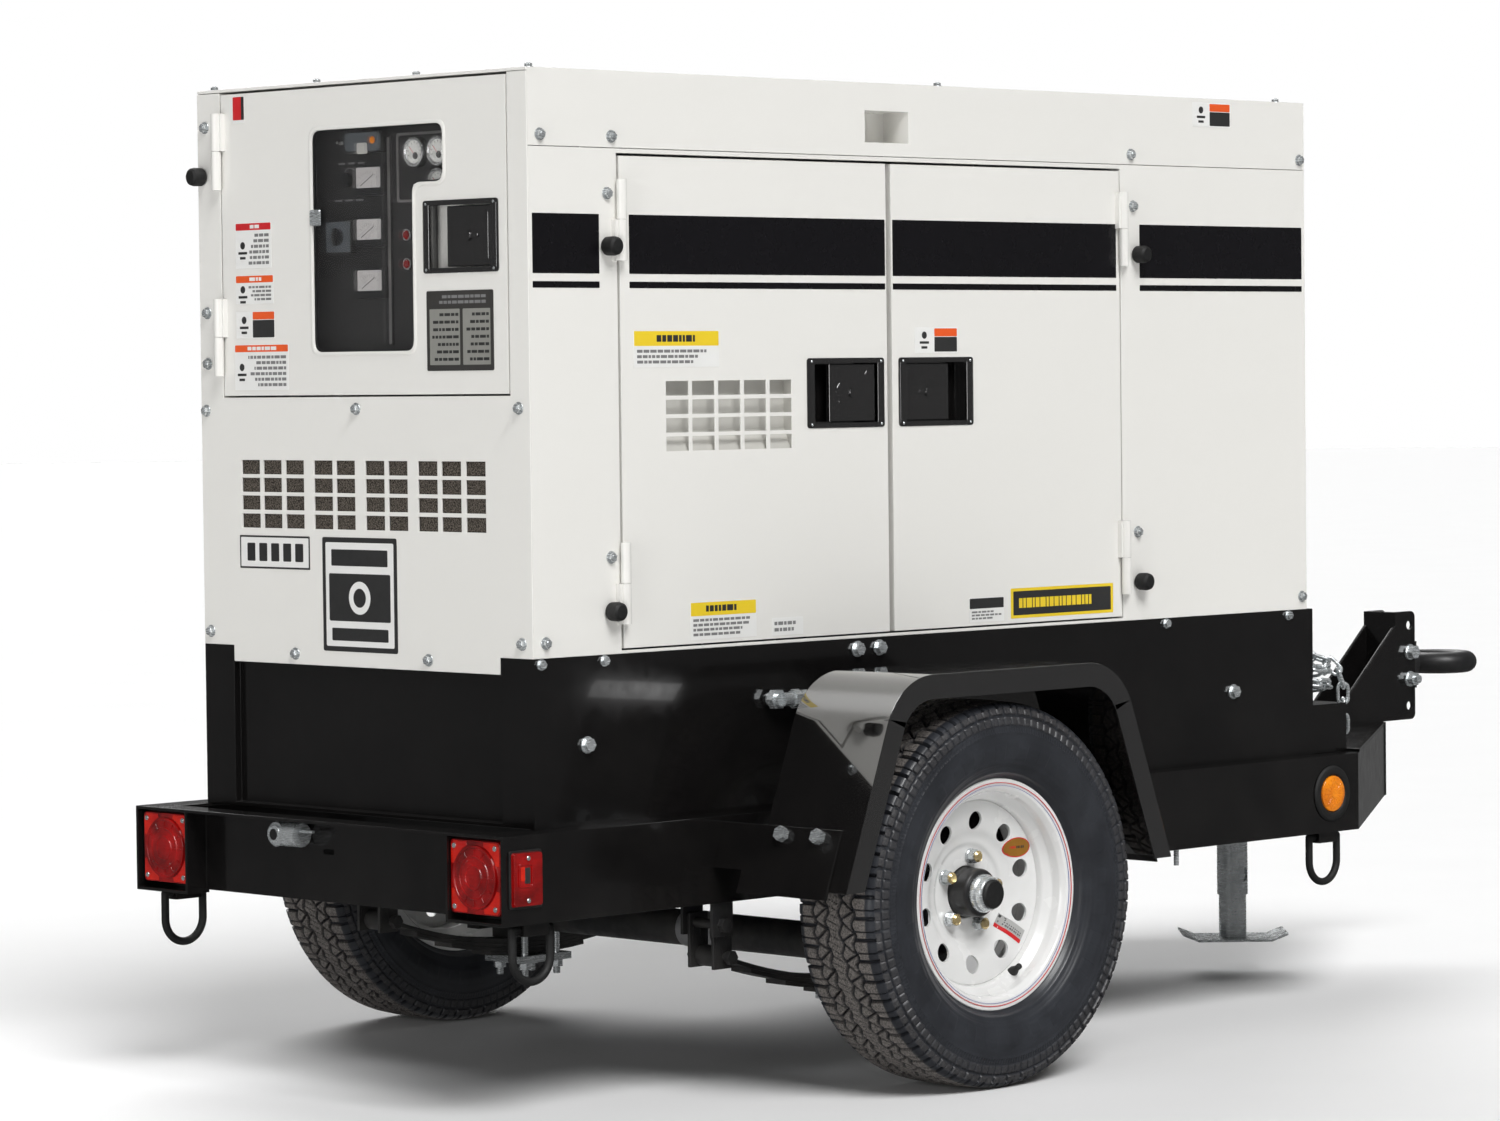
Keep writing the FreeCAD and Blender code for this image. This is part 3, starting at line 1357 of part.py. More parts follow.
def build():
    part("side_rail_left", rail(LEFT))
    part("side_rail_right", rail(RIGHT))
    part("rear_crossmember", rear_crossmember())
    part("tongue_left", tongue(LEFT))
    part("tongue_right", tongue(RIGHT))
    part("hitch_riser", hitch_riser())
    part("front_step", front_step())
    part("lunette_eye", lunette_eye())
    part("safety_chain", safety_chain())
    part("frame_brackets", frame_brackets())
    for spot in RING_SPOTS:
        part("tie_ring_" + spot, tie_ring(spot))
    part("marker_lamps", lamps())
    part("fender_right", fender())
    part("fender_left", mirrored(parts[-1]))
    part("zinc_hardware", zinc_hardware())
    part("axle_beam", axle_beam())
    part("leaf_springs", group(*spring(LEFT), *spring(RIGHT)))
    hangers = [item for side in (LEFT, RIGHT) for way in (-1, 1) for item in hanger(side, way)]
    part("spring_hangers", group(*hangers))
    part("u_bolts", group(*u_bolts(LEFT), *u_bolts(RIGHT)))
    for name, maker in (("hub", hub), ("rim", rim), ("tyre", tyre)):
        part(name + "_right", maker())
        part(name + "_left", mirrored(parts[-1]))
    part("jack_tube", jack_tube())
    part("jack_leg", jack_leg())
    part("jack_crank", jack_crank())
    part("base_pan", base_pan())
    part("fuel_tank", fuel_tank())
    part("rear_frame", rear_frame())
    panel = side_panel()
    part("side_panels", group(panel, mirrored(panel)))
    part("roof_cover", roof_cover())
    part("front_panel", front_panel())
    part("control_door", control_door())
    part("control_window", control_window())
    for end in ("rear", "front"):
        part(f"door_right_{end}", side_door(end))
        part(f"door_left_{end}", mirrored(parts[-1]))
        part(f"latch_right_{end}", side_paddle(end))
        part(f"latch_left_{end}", mirrored(parts[-1]))
    part("latch_control", control_paddle())
    part("hinge_halves", hinge_halves())
    part("control_panel", control_panel())
    part("panel_selector", panel_selector())
    part("panel_knob", panel_knob())
    part("panel_toggle", panel_toggle())
    part("engine_block", engine_block())
    part("alternator_stator", alternator_stator())
    part("crankshaft_fan", crankshaft_fan())
    part("charging_pulley", charging_pulley())
    part("radiator", radiator())
    part("muffler", muffler())
    part("battery", battery())


def export():
    document.recompute()
    failed = [obj.Name for obj in document.Objects if {"Invalid", "Error"} & set(obj.State)]
    if failed:
        raise RuntimeError("failed objects: " + ", ".join(failed))
    os.makedirs("parts", exist_ok=True)
    for obj in parts:
        shape = obj.Shape
        if shape.isNull() or not shape.isValid() or not shape.Solids:
            raise RuntimeError("bad shape: " + obj.Label)
    for obj in parts:
        obj.Shape.exportStep(f"parts/{obj.Label}.step")
    print(len(parts), "sub-parts written")


build()
export()
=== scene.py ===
import math
import random

import bmesh
import bpy
import numpy as np
from mathutils import Matrix, Vector


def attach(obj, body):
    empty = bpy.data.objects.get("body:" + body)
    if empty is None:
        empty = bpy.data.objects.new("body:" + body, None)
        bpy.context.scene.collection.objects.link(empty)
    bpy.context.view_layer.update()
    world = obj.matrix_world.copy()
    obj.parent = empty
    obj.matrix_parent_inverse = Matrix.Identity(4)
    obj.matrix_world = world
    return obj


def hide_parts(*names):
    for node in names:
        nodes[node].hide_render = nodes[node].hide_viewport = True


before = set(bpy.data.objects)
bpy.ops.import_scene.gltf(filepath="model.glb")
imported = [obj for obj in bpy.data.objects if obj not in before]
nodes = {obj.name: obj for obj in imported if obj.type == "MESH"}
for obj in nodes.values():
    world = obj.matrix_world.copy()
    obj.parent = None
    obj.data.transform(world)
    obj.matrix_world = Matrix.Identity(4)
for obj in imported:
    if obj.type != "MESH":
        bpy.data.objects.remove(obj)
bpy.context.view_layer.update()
MM = 0.001
RIGHT, LEFT = -1, 1


# ------------------------------------------------------------------ materials

def new_material(name):
    material = bpy.data.materials.new(name)
    material.use_nodes = True
    tree = material.node_tree
    shader = next(node for node in tree.nodes if node.type == "BSDF_PRINCIPLED")
    return material, tree, shader


class Graph:
    """Short names for making and linking shader nodes."""

    def __init__(self, tree):
        self.tree = tree
        self.coords = self.add("ShaderNodeTexCoord").outputs["Object"]

    def add(self, kind, **values):
        node = self.tree.nodes.new(kind)
        for key, value in values.items():
            setattr(node, key, value)
        return node

    def link(self, out, socket):
        self.tree.links.new(out, socket)

    def mapped(self, scale=(1, 1, 1), rotation=(0, 0, 0)):
        node = self.add("ShaderNodeMapping")
        node.inputs["Scale"].default_value = scale
        node.inputs["Rotation"].default_value = rotation
        self.link(self.coords, node.inputs["Vector"])
        return node.outputs["Vector"]

    def noise(self, scale, detail=4, rough=0.5, vector=None):
        node = self.add("ShaderNodeTexNoise")
        node.inputs["Scale"].default_value = scale
        node.inputs["Detail"].default_value = detail
        node.inputs["Roughness"].default_value = rough
        self.link(vector or self.coords, node.inputs["Vector"])
        return node.outputs["Fac"]

    def ramp(self, factor, low, high, low_value=0.0, high_value=1.0):
        node = self.add("ShaderNodeMapRange")
        node.inputs["From Min"].default_value = low
        node.inputs["From Max"].default_value = high
        node.inputs["To Min"].default_value = low_value
        node.inputs["To Max"].default_value = high_value
        self.link(factor, node.inputs["Value"])
        return node.outputs["Result"]

    def mix(self, factor, first, second):
        node = self.add("ShaderNodeMix", data_type="RGBA")
        self.link(factor, node.inputs["Factor"])
        for socket, value in ((node.inputs[6], first), (node.inputs[7], second)):
            if isinstance(value, tuple):
                socket.default_value = (*value[:3], 1)
            else:
                self.link(value, socket)
        return node.outputs[2]

    def math(self, operation, first, second):
        node = self.add("ShaderNodeMath", operation=operation)
        for socket, value in zip(node.inputs, (first, second)):
            if isinstance(value, (int, float)):
                socket.default_value = value
            else:
                self.link(value, socket)
        return node.outputs[0]

    def bump(self, shader, height, strength, distance):
        node = self.add("ShaderNodeBump")
        node.inputs["Strength"].default_value = strength
        node.inputs["Distance"].default_value = distance
        self.link(height, node.inputs["Height"])
        self.link(node.outputs["Normal"], shader.inputs["Normal"])

    def axis(self, name):
        node = self.add("ShaderNodeSeparateXYZ")
        self.link(self.coords, node.inputs[0])
        return node.outputs[name]


def surface(name, colour, shade=0.12, rough=(0.3, 0.45), grain=60, bump=(0.1, 0.0002, 300), dust=0.0,
            metallic=0.0, coat=0.0, coat_rough=0.08, coat_ior=1.5, specular=0.5):
    """Painted, plated or moulded surface: mottled colour, uneven gloss, fine bump, dust low down."""
    material, tree, shader = new_material(name)
    graph = Graph(tree)
    darker = tuple(value * (1 - shade) for value in colour)
    blend = graph.ramp(graph.noise(grain * 0.1, 5, 0.6), 0.35, 0.65)
    tint = graph.mix(blend, darker, colour)
    if dust:
        patches = graph.ramp(graph.noise(9, 6, 0.65), 0.42, 0.75)
        low_down = graph.ramp(graph.axis("Z"), 0.75, 0.05)
        dusty = graph.math("MULTIPLY", graph.math("MULTIPLY", patches, low_down), dust)
        tint = graph.mix(dusty, tint, (0.42, 0.39, 0.34))
    graph.link(tint, shader.inputs["Base Color"])
    graph.link(graph.ramp(graph.noise(grain, 3), 0.3, 0.7, *rough), shader.inputs["Roughness"])
    strength, distance, scale = bump
    graph.bump(shader, graph.noise(scale, 2), strength, distance)
    shader.inputs["Metallic"].default_value = metallic
    shader.inputs["Coat Weight"].default_value = coat
    shader.inputs["Coat Roughness"].default_value = coat_rough
    shader.inputs["Coat IOR"].default_value = coat_ior
    shader.inputs["Specular IOR Level"].default_value = specular
    return material


def plated(name, light, dark, rough=(0.22, 0.42), metallic=0.72):
    """Zinc or chromate plating: streaky bright metal with duller patches."""
    material, tree, shader = new_material(name)
    graph = Graph(tree)
    streaks = graph.noise(40, 6, 0.7, graph.mapped((1, 1, 7)))
    patches = graph.ramp(graph.noise(18, 5, 0.6), 0.35, 0.7)
    graph.link(graph.mix(patches, light, dark), shader.inputs["Base Color"])
    graph.link(graph.ramp(streaks, 0.3, 0.7, *rough), shader.inputs["Roughness"])
    graph.bump(shader, graph.noise(420, 3), 0.12, 0.0002)
    shader.inputs["Metallic"].default_value = metallic
    return material


def tyre_rubber():
    """Rubber: brownish and speckled where the road wears it, smooth and dark elsewhere."""
    material, tree, shader = new_material("tyre_rubber_look")
    graph = Graph(tree)
    worn = graph.add("ShaderNodeAttribute", attribute_name="worn")
    speckle = graph.ramp(graph.noise(330, 4, 0.7), 0.38, 0.62)
    road = graph.mix(speckle, (0.05, 0.046, 0.044), (0.2, 0.18, 0.165))
    wall = graph.mix(graph.ramp(graph.noise(12, 6, 0.65), 0.4, 0.7), (0.02, 0.0215, 0.026),
                     (0.034, 0.037, 0.044))
    tint = graph.add("ShaderNodeMix", data_type="RGBA")
    graph.link(worn.outputs["Fac"], tint.inputs["Factor"])
    graph.link(wall, tint.inputs["A"])
    graph.link(road, tint.inputs["B"])
    graph.link(tint.outputs["Result"], shader.inputs["Base Color"])
    gloss = graph.ramp(worn.outputs["Fac"], 0.0, 1.0, 0.34, 0.8)
    graph.link(gloss, shader.inputs["Roughness"])
    graph.bump(shader, graph.noise(500, 3), 0.25, 0.0003)
    return material


def open_foam():
    """Coarse acoustic foam: brownish grains, with painted shade in the pores where the bump dips."""
    material, tree, shader = new_material("foam_look")
    graph = Graph(tree)
    # Painted shade: the noise that makes the bump's hollows also darkens their colour, so the pores are dark
    # from colour as well as from light.
    grains_and_pore_shade = graph.ramp(graph.noise(430, 4, 0.7), 0.4, 0.66)
    graph.link(graph.mix(grains_and_pore_shade, (0.008, 0.007, 0.006), (0.21, 0.18, 0.15)), shader.inputs["Base Color"])
    graph.link(graph.ramp(graph.noise(60, 3), 0.3, 0.7, 0.8, 0.95), shader.inputs["Roughness"])
    graph.bump(shader, graph.noise(430, 4, 0.7), 0.9, 0.0015)
    shader.inputs["Specular IOR Level"].default_value = 0.15
    return material


def clear_pane():
    material, tree, shader = new_material("clear_pane_look")
    graph = Graph(tree)
    smears = graph.ramp(graph.noise(6, 5, 0.6), 0.45, 0.8, 0.0, 0.02)
    graph.link(smears, shader.inputs["Roughness"])
    graph.link(graph.mix(smears, (1, 1, 1), (0.9, 0.93, 0.93)), shader.inputs["Base Color"])
    shader.inputs["Transmission Weight"].default_value = 1.0
    shader.inputs["IOR"].default_value = 1.4
    shader.inputs["Alpha"].default_value = 0.14
    return material


def lens(name, colour, deep, glow):
    """Coloured lamp lens with fine prisms."""
    material, tree, shader = new_material(name)
    graph = Graph(tree)
    wave = graph.add("ShaderNodeTexWave", bands_direction="Z")
    wave.inputs["Scale"].default_value = 60
    graph.link(graph.coords, wave.inputs["Vector"])
    patches = graph.ramp(graph.noise(24, 4), 0.35, 0.7)
    graph.link(graph.mix(patches, deep, colour), shader.inputs["Base Color"])
    graph.link(graph.mix(patches, deep, colour), shader.inputs["Emission Color"])
    shader.inputs["Emission Strength"].default_value = glow
    graph.link(graph.ramp(graph.noise(90, 2), 0.3, 0.7, 0.08, 0.2), shader.inputs["Roughness"])
    graph.bump(shader, wave.outputs["Fac"], 0.25, 0.0006)
    shader.inputs["Coat Weight"].default_value = 0.6
    return material


LOOKS = {}


def make_looks():
    LOOKS.update({
        "white": surface("enclosure_look", (0.79, 0.78, 0.745), 0.008, (0.24, 0.27), 8, (0.05, 0.0002, 260),
                         coat=0.2, coat_rough=0.2),
        # The enclosure white made darker: painted shade for the white duct behind the side grilles
        "white_inside": surface("inner_white_shaded_look", (0.6, 0.59, 0.55), 0.15, (0.4, 0.55), 30),
        "black": surface("chassis_look", (0.0065, 0.006, 0.006), 0.3, (0.12, 0.22), 40, (0.05, 0.0002, 160),
                         dust=0.02, coat=0.25, coat_rough=0.05, specular=0.4),
        "fender": surface("fender_look", (0.006, 0.0055, 0.0055), 0.3, (0.06, 0.11), 30, (0.03, 0.0002, 120),
                          dust=0.01, coat=1.0, coat_rough=0.03, coat_ior=2.3),
        "satin": surface("satin_black_look", (0.014, 0.014, 0.015), 0.3, (0.35, 0.55), 60,
                         (0.15, 0.0003, 260),
                         dust=0.12),
        "moulded": surface("latch_look", (0.007, 0.0065, 0.0065), 0.2, (0.08, 0.15), 50, (0.04, 0.0001, 400),
                           coat=1.0, coat_rough=0.05, coat_ior=2.1),
        "rubber": surface("rubber_look", (0.012, 0.012, 0.012), 0.3, (0.55, 0.75), 80, (0.2, 0.0003, 500)),
        "zinc": plated("zinc_look", (0.74, 0.77, 0.78), (0.5, 0.53, 0.54), (0.18, 0.34)),
        "gold": plated("chromate_look", (0.78, 0.6, 0.26), (0.6, 0.48, 0.3), (0.18, 0.3)),
        "dull_steel": plated("dull_steel_look", (0.36, 0.35, 0.34), (0.22, 0.21, 0.21), (0.35, 0.6)),
        "tyre": tyre_rubber(),
        "wheel": surface("wheel_look", (0.78, 0.78, 0.77), 0.03, (0.18, 0.3), 30, (0.03, 0.0002, 240),
                         dust=0.05, coat=0.5),
        "hub": surface("hub_look", (0.02, 0.02, 0.021), 0.4, (0.3, 0.5), 70, (0.3, 0.0005, 200), dust=0.1),
        "red_lens": lens("red_lens_look", (0.36, 0.003, 0.003), (0.13, 0.001, 0.001), 0.03),
        # Painted glow: a brighter orange-red emissive lens colour for the lamp corners, standing in for a
        # highlight in the lens
        "red_glow": lens("red_painted_glow_look", (0.62, 0.016, 0.004), (0.42, 0.005, 0.003), 0.06),
        "amber_lens": lens("amber_lens_look", (0.86, 0.27, 0.008), (0.6, 0.15, 0.004), 0.12),
        "pane": clear_pane(),
        "panel": surface("panel_look", (0.026, 0.025, 0.025), 0.15, (0.35, 0.5), 60, (0.08, 0.0002, 350)),
        "panel_light": surface("panel_light_look", (0.5, 0.49, 0.46), 0.1, (0.35, 0.5), 60),
        "dial": surface("dial_look", (0.78, 0.78, 0.75), 0.04, (0.3, 0.4), 50),
        "switch": surface("switch_look", (0.012, 0.012, 0.013), 0.2, (0.3, 0.5), 80),
        "chrome": plated("chrome_look", (0.85, 0.85, 0.85), (0.7, 0.7, 0.7), (0.06, 0.15), 0.85),
        "engine": surface("engine_look", (0.05, 0.055, 0.06), 0.35, (0.4, 0.6), 60, (0.4, 0.0008, 90)),
        "alloy": plated("alloy_look", (0.5, 0.5, 0.5), (0.35, 0.35, 0.36), (0.4, 0.6)),
        "foam": open_foam(),
        "sticker_black": surface("stripe_look", (0.0065, 0.006, 0.0075), 0.1, (0.22, 0.3), 40,
                                 (0.02, 0.0001, 200),
                                 specular=0.3),
        "sticker_white": surface("label_white_look", (0.8, 0.8, 0.78), 0.03, (0.3, 0.4), 60),
        "sticker_yellow": surface("label_yellow_look", (0.83, 0.6, 0.02), 0.04, (0.3, 0.4), 60),
        "sticker_orange": surface("label_orange_look", (0.8, 0.1, 0.015), 0.04, (0.3, 0.4), 60),
        "sticker_red": surface("label_red_look", (0.6, 0.015, 0.02), 0.05, (0.3, 0.4), 60),
        "sticker_blue": surface("label_blue_look", (0.02, 0.06, 0.35), 0.05, (0.3, 0.4), 60),
        "ink": surface("label_ink_look", (0.03, 0.03, 0.03), 0.1, (0.35, 0.5), 60),
        "ink_grey": surface("label_grey_ink_look", (0.12, 0.12, 0.12), 0.1, (0.4, 0.5), 60,
                            (0.02, 0.0001, 200)),
        "sticker_olive": surface("label_olive_look", (0.3, 0.13, 0.008), 0.12, (0.3, 0.42), 60,
                                 (0.02, 0.0001, 200)),
        "sticker_silver": surface("label_silver_look", (0.42, 0.42, 0.41), 0.06, (0.28, 0.36), 60,
                                  (0.02, 0.0001, 200)),
        "ink_pale": surface("label_pale_ink_look", (0.2, 0.2, 0.2), 0.1, (0.35, 0.5), 60),
        "nameplate": surface("nameplate_look", (0.045, 0.043, 0.04), 0.1, (0.3, 0.4), 60),
        "plate_grey": surface("plate_grey_look", (0.27, 0.27, 0.245), 0.1, (0.3, 0.42), 80),
        "meter": surface("meter_look", (0.5, 0.48, 0.47), 0.06, (0.25, 0.35), 50),
        "smoked": surface("smoked_look", (0.1, 0.11, 0.12), 0.2, (0.06, 0.12), 50, coat=0.5),
    })


make_looks()

NODE_LOOKS = {
    "black": "side_rail_left side_rail_right rear_crossmember tongue_left tongue_right hitch_riser front_step"
             " frame_brackets base_pan",
    "fender": "fender_left fender_right",
    "satin": "axle_beam spring_hangers leaf_springs jack_crank lunette_eye fuel_tank",
    "zinc": "zinc_hardware u_bolts safety_chain jack_leg jack_tube",
    "rubber": "tie_ring_rear_left tie_ring_rear_right tie_ring_front_left tie_ring_front_right",
    "red_lens": "marker_lamps",
    "hub": "hub_left hub_right",
    "wheel": "rim_left rim_right",
    "tyre": "tyre_left tyre_right",
    "white": "rear_frame side_panels roof_cover front_panel control_door door_right_rear door_left_rear"
             " door_right_front door_left_front hinge_halves",
    "pane": "control_window",
    "moulded": "latch_right_rear latch_left_rear latch_right_front latch_left_front latch_control",
    "panel": "control_panel",
    "switch": "panel_selector panel_knob battery",
    "chrome": "panel_toggle",
    "engine": "engine_block alternator_stator",
    "alloy": "radiator",
    "dull_steel": "muffler crankshaft_fan charging_pulley",
}


def dress_cad():
    """Gives every CAD node its material, smooth shading on curves and a small edge radius."""
    for look, names in NODE_LOOKS.items():
        for name in names.split():
            obj = nodes[name]
            obj.data.materials.clear()
            obj.data.materials.append(LOOKS[look])
            soften(obj, 0.0009)


def soften(obj, width, segments=2, angle=30):
    """Welds split corners, then rounds sharp edges with a small bevel."""
    weld = obj.modifiers.new("weld", "WELD")
    weld.merge_threshold = 0.00002
    bevel = obj.modifiers.new("edge", "BEVEL")
    bevel.width = width
    bevel.segments = segments
    bevel.limit_method = "ANGLE"
    bevel.angle_limit = math.radians(angle)
    bevel.harden_normals = False
    bevel.use_clamp_overlap = True
    smooth(obj, angle)
    flatten = obj.modifiers.new("flat_faces", "WEIGHTED_NORMAL")
    flatten.keep_sharp = True
    flatten.weight = 100


def smooth(obj, angle=30):
    obj.data.shade_smooth()
    obj.data.set_sharp_from_angle(angle=math.radians(angle))


dress_cad()


# ------------------------------------------------------------------ making pieces

# Each face maps drawing coordinates (across, up, outward) to the object's axes. Across is X on the sides and
# Y on the ends, so a drawing keeps the object's own numbers.
FACES = {
    "right": lambda across, up, out: (across, -out, up),
    "left": lambda across, up, out: (across, out, up),
    "rear": lambda across, up, out: (-out, across, up),
    "front": lambda across, up, out: (out, across, up),
    "top": lambda across, up, out: (across, up, out),
}


def link_piece(name, data, look, body, angle=30):
    obj = bpy.data.objects.new(name, data)
    bpy.context.scene.collection.objects.link(obj)
    data.materials.append(LOOKS[look])
    smooth(obj, angle)
    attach(obj, body)
    return obj


def piece(name, mesh, look, body, bevel=0.0, segments=2, angle=30):
    """Turns a bmesh in millimetres into a piece of the object."""
    bmesh.ops.recalc_face_normals(mesh, faces=mesh.faces)
    bmesh.ops.scale(mesh, vec=(MM, MM, MM), verts=mesh.verts)
    data = bpy.data.meshes.new(name)
    mesh.to_mesh(data)
    mesh.free()
    obj = link_piece(name, data, look, body, angle)
    if bevel:
        soften(obj, bevel * MM, segments, angle)
    return obj


def add_loops(mesh, loops, close_ends=True, ring=False):
    """Skins a list of equal rings of points; ring joins the last loop to the first."""
    rows = [[mesh.verts.new(point) for point in loop] for loop in loops]
    pairs = list(zip(rows, rows[1:])) + ([(rows[-1], rows[0])] if ring else [])
    count = len(rows[0])
    for first, second in pairs:
        for index in range(count):
            following = (index + 1) % count
            mesh.faces.new((first[index], first[following], second[following], second[index]))
    if close_ends and not ring:
        mesh.faces.new(rows[0])
        mesh.faces.new(list(reversed(rows[-1])))


def rounded(points, radius, steps=4):
    """A closed outline with every corner rounded."""
    result = []
    count = len(points)
    for index, point in enumerate(points):
        here = Vector(point)
        before = Vector(points[index - 1]) - here
        after = Vector(points[(index + 1) % count]) - here
        reach = min(radius, before.length * 0.48, after.length * 0.48)
        start = here + before.normalized() * reach
        end = here + after.normalized() * reach
        for step in range(steps + 1):
            t = step / steps
            result.append(tuple(start * (1 - t) ** 2 + here * 2 * t * (1 - t) + end * t ** 2))
    return result


def rectangle(low_a, low_b, high_a, high_b):
    return [(low_a, low_b), (high_a, low_b), (high_a, high_b), (low_a, high_b)]


def add_slab(mesh, face, outline, near, far, taper=0.0):
    """Extrudes an outline drawn on a face from distance near to far; taper shrinks the far end."""
    place = FACES[face]
    centre = Vector((sum(p[0] for p in outline), sum(p[1] for p in outline))) / len(outline)
    end = [tuple(Vector(point) + (centre - Vector(point)).normalized() * taper) for point in outline]
    add_loops(mesh, [[place(*point, near) for point in outline], [place(*point, far) for point in end]])


def add_block(mesh, low, high):
    add_slab(mesh, "top", rectangle(low[0], low[1], high[0], high[1]), low[2], high[2])


AXES = {
    "x": lambda along, a, b: (along, a, b),
    "y": lambda along, a, b: (a, along, b),
    "z": lambda along, a, b: (a, b, along),
}


def add_lathe(mesh, profile, centre, axis, segments=48, sign=1, closed=True):
    """Turns a profile of (radius, distance along the axis) round the axis."""
    place = AXES[axis]
    middle = Vector(centre)
    loops = []
    for step in range(segments):
        angle = math.tau * step / segments
        loops.append([tuple(middle + Vector(place(along * sign, radius * math.cos(angle),
                                                  radius * math.sin(angle))))
                      for radius, along in profile])
    if closed:
        add_loops(mesh, loops, ring=True)
        return
    rows = [[mesh.verts.new(point) for point in loop] for loop in loops]
    for index, row in enumerate(rows):
        following = rows[(index + 1) % segments]
        for k in range(len(profile) - 1):
            mesh.faces.new((row[k], row[k + 1], following[k + 1], following[k]))


def add_disc(mesh, centre, axis, radius, start, end, segments=32, chamfer=0.0, sign=1):
    """A solid round bar along an axis, with chamfered ends."""
    place = AXES[axis]
    middle = Vector(centre)
    rings = [(radius, start), (radius, end)]
    if chamfer:
        rings = [(radius - chamfer, start), (radius, start + chamfer), (radius, end - chamfer),
                 (radius - chamfer, end)]
    loops = []
    for size, along in rings:
        loops.append([tuple(middle + Vector(place(along * sign, size * math.cos(math.tau * k / segments),
                                                  size * math.sin(math.tau * k / segments))))
                      for k in range(segments)])
    add_loops(mesh, loops)


def add_hexagon(mesh, centre, axis, across, start, end, turn=0.0, sign=1):
    """A hexagon head with chamfered corners; across is measured over its corners."""
    place = AXES[axis]
    middle = Vector(centre)
    loops = []
    chamfer = across * 0.045
    for size, along in ((across / 2, start), (across / 2, end - chamfer), (across / 2 - chamfer * 1.6, end)):
        loops.append([tuple(middle + Vector(place(along * sign, size * math.cos(turn + math.tau * k / 6),
                                                  size * math.sin(turn + math.tau * k / 6))))
                      for k in range(6)])
    add_loops(mesh, loops)


def add_bolt(mesh, face, across, up, level, size=20, height=8, washer=2.0, turn=0.3):
    """A hexagon bolt with its washer and a domed stub, standing on a face."""
    axis, sign = {"right": ("y", -1), "left": ("y", 1), "rear": ("x", -1), "front": ("x", 1),
                  "top": ("z", 1)}[face]
    if axis == "y":
        centre = (across, 0, up)
    elif axis == "x":
        centre = (0, across, up)
    else:
        centre = (across, up, 0)
    add_disc(mesh, centre, axis, size * 0.66, level, level + washer, 24, 0.4, sign)
    add_hexagon(mesh, centre, axis, size, level + washer, level + washer + height, turn, sign)
    add_disc(mesh, centre, axis, size * 0.3, level + washer + height, level + washer + height + 1.2, 20,
             0.6, sign)


class Gather:
    """Collects shapes that share a look and a body, and makes one piece of each collection."""

    def __init__(self, prefix, bevel=0.0):
        self.prefix = prefix
        self.bevel = bevel
        self.meshes = {}

    def mesh(self, look, body):
        return self.meshes.setdefault((look, body), bmesh.new())

    def finish(self):
        for (look, body), mesh in self.meshes.items():
            piece(f"{self.prefix}_{look}_{body}", mesh, look, body, self.bevel)


def mirrored_side(side):
    return "right" if side == RIGHT else "left"


# ------------------------------------------------------------------ wheels

AXLE = (-654, 305)
WHEEL_PLANE = 635.5
GROOVES = ((-41, 0.55), (-14.5, 0.1), (14.5, 0.6), (41, 0.05))
WORN_EDGE = 66
TYRE_PROFILE = [
    (166, 50), (172, 58), (184, 61), (190, 68), (200, 76.5), (214, 83.5), (232, 87.2), (250, 86.8),
    (266, 84.2),
    (279, 81.5), (288, 79.5), (294, 76), (297.5, 70), (299, 62), (300, 40), (300.4, 20), (300.5, 0),
]
TREAD_HALF = 76
PITCHES = 56
PITCH = math.tau * 305 / PITCHES


def smooth_line(points, count):
    """Evenly spaced points on a curve through the given points."""
    table = np.array(points, float)
    lengths = np.concatenate([[0], np.cumsum(np.linalg.norm(np.diff(table, axis=0), axis=1))])
    spots = np.linspace(0, lengths[-1], count)
    line = np.stack([np.interp(spots, lengths, table[:, k]) for k in range(2)], axis=1)
    for _ in range(3):
        line[1:-1] = (line[:-2] + 2 * line[1:-1] + line[2:]) / 4
    return line


def line_gap(position, half_width):
    """0 on a groove that runs through the whole numbers of position (in pitches), rising to 1 beside it."""
    distance = (0.5 - np.abs(position % 1 - 0.5)) * PITCH
    return np.clip((distance - half_width) / 1.3, 0, 1)


def tread_depth(across, around):
    """Height of the tread above its groove floor, 0 to 1: five rows parted by four S-shaped grooves."""
    height = np.ones_like(across)
    for middle, phase in GROOVES:
        swing = middle + 3.4 * np.sin(math.tau * (around + phase))
        height = np.minimum(height, np.clip((np.abs(across - swing) - 1.9) / 1.3, 0, 1))
    reach = np.abs(across)
    flip = np.where(across < 0, 0.5, 0.0)
    between = np.clip((reach - 14.5) / 26.5, 0, 1)
    zigzag = np.minimum(line_gap(around + flip - 0.6 * between, 1.0),
                        line_gap(around + flip + 0.4 * between, 0.8))
    height = np.where((reach > 14.5) & (reach < 41), np.minimum(height, zigzag), height)
    edge = np.minimum(line_gap(around + flip + 0.1 * between, 1.7),
                      0.55 + 0.45 * line_gap(around + flip + 0.5, 0.5))
    height = np.where(reach >= 41, np.minimum(height, edge), height)
    ribs = 0.5 + 0.5 * line_gap((around * 3 + across / 30) % 1 / 3, 0.35)
    return np.where(reach <= 14.5, np.minimum(height, ribs), height)


def shoulder_height(radius, around):
    """Two rings of small blocks round the tyre's shoulder, above the wall."""
    outer = np.clip(np.minimum(radius - 283.5, 300 - radius) / 1.2, 0, 1)
    inner = np.clip(np.minimum(radius - 267, 280.5 - radius) / 1.2, 0, 1)
    wide = np.minimum(line_gap(around, 1.8), 0.6 + 0.4 * line_gap(around + 0.5, 0.5))
    small = np.minimum(line_gap(around, 1.2), line_gap(around + 0.5, 0.9))
    return outer * wide * 3.6 + inner * small * 2.4


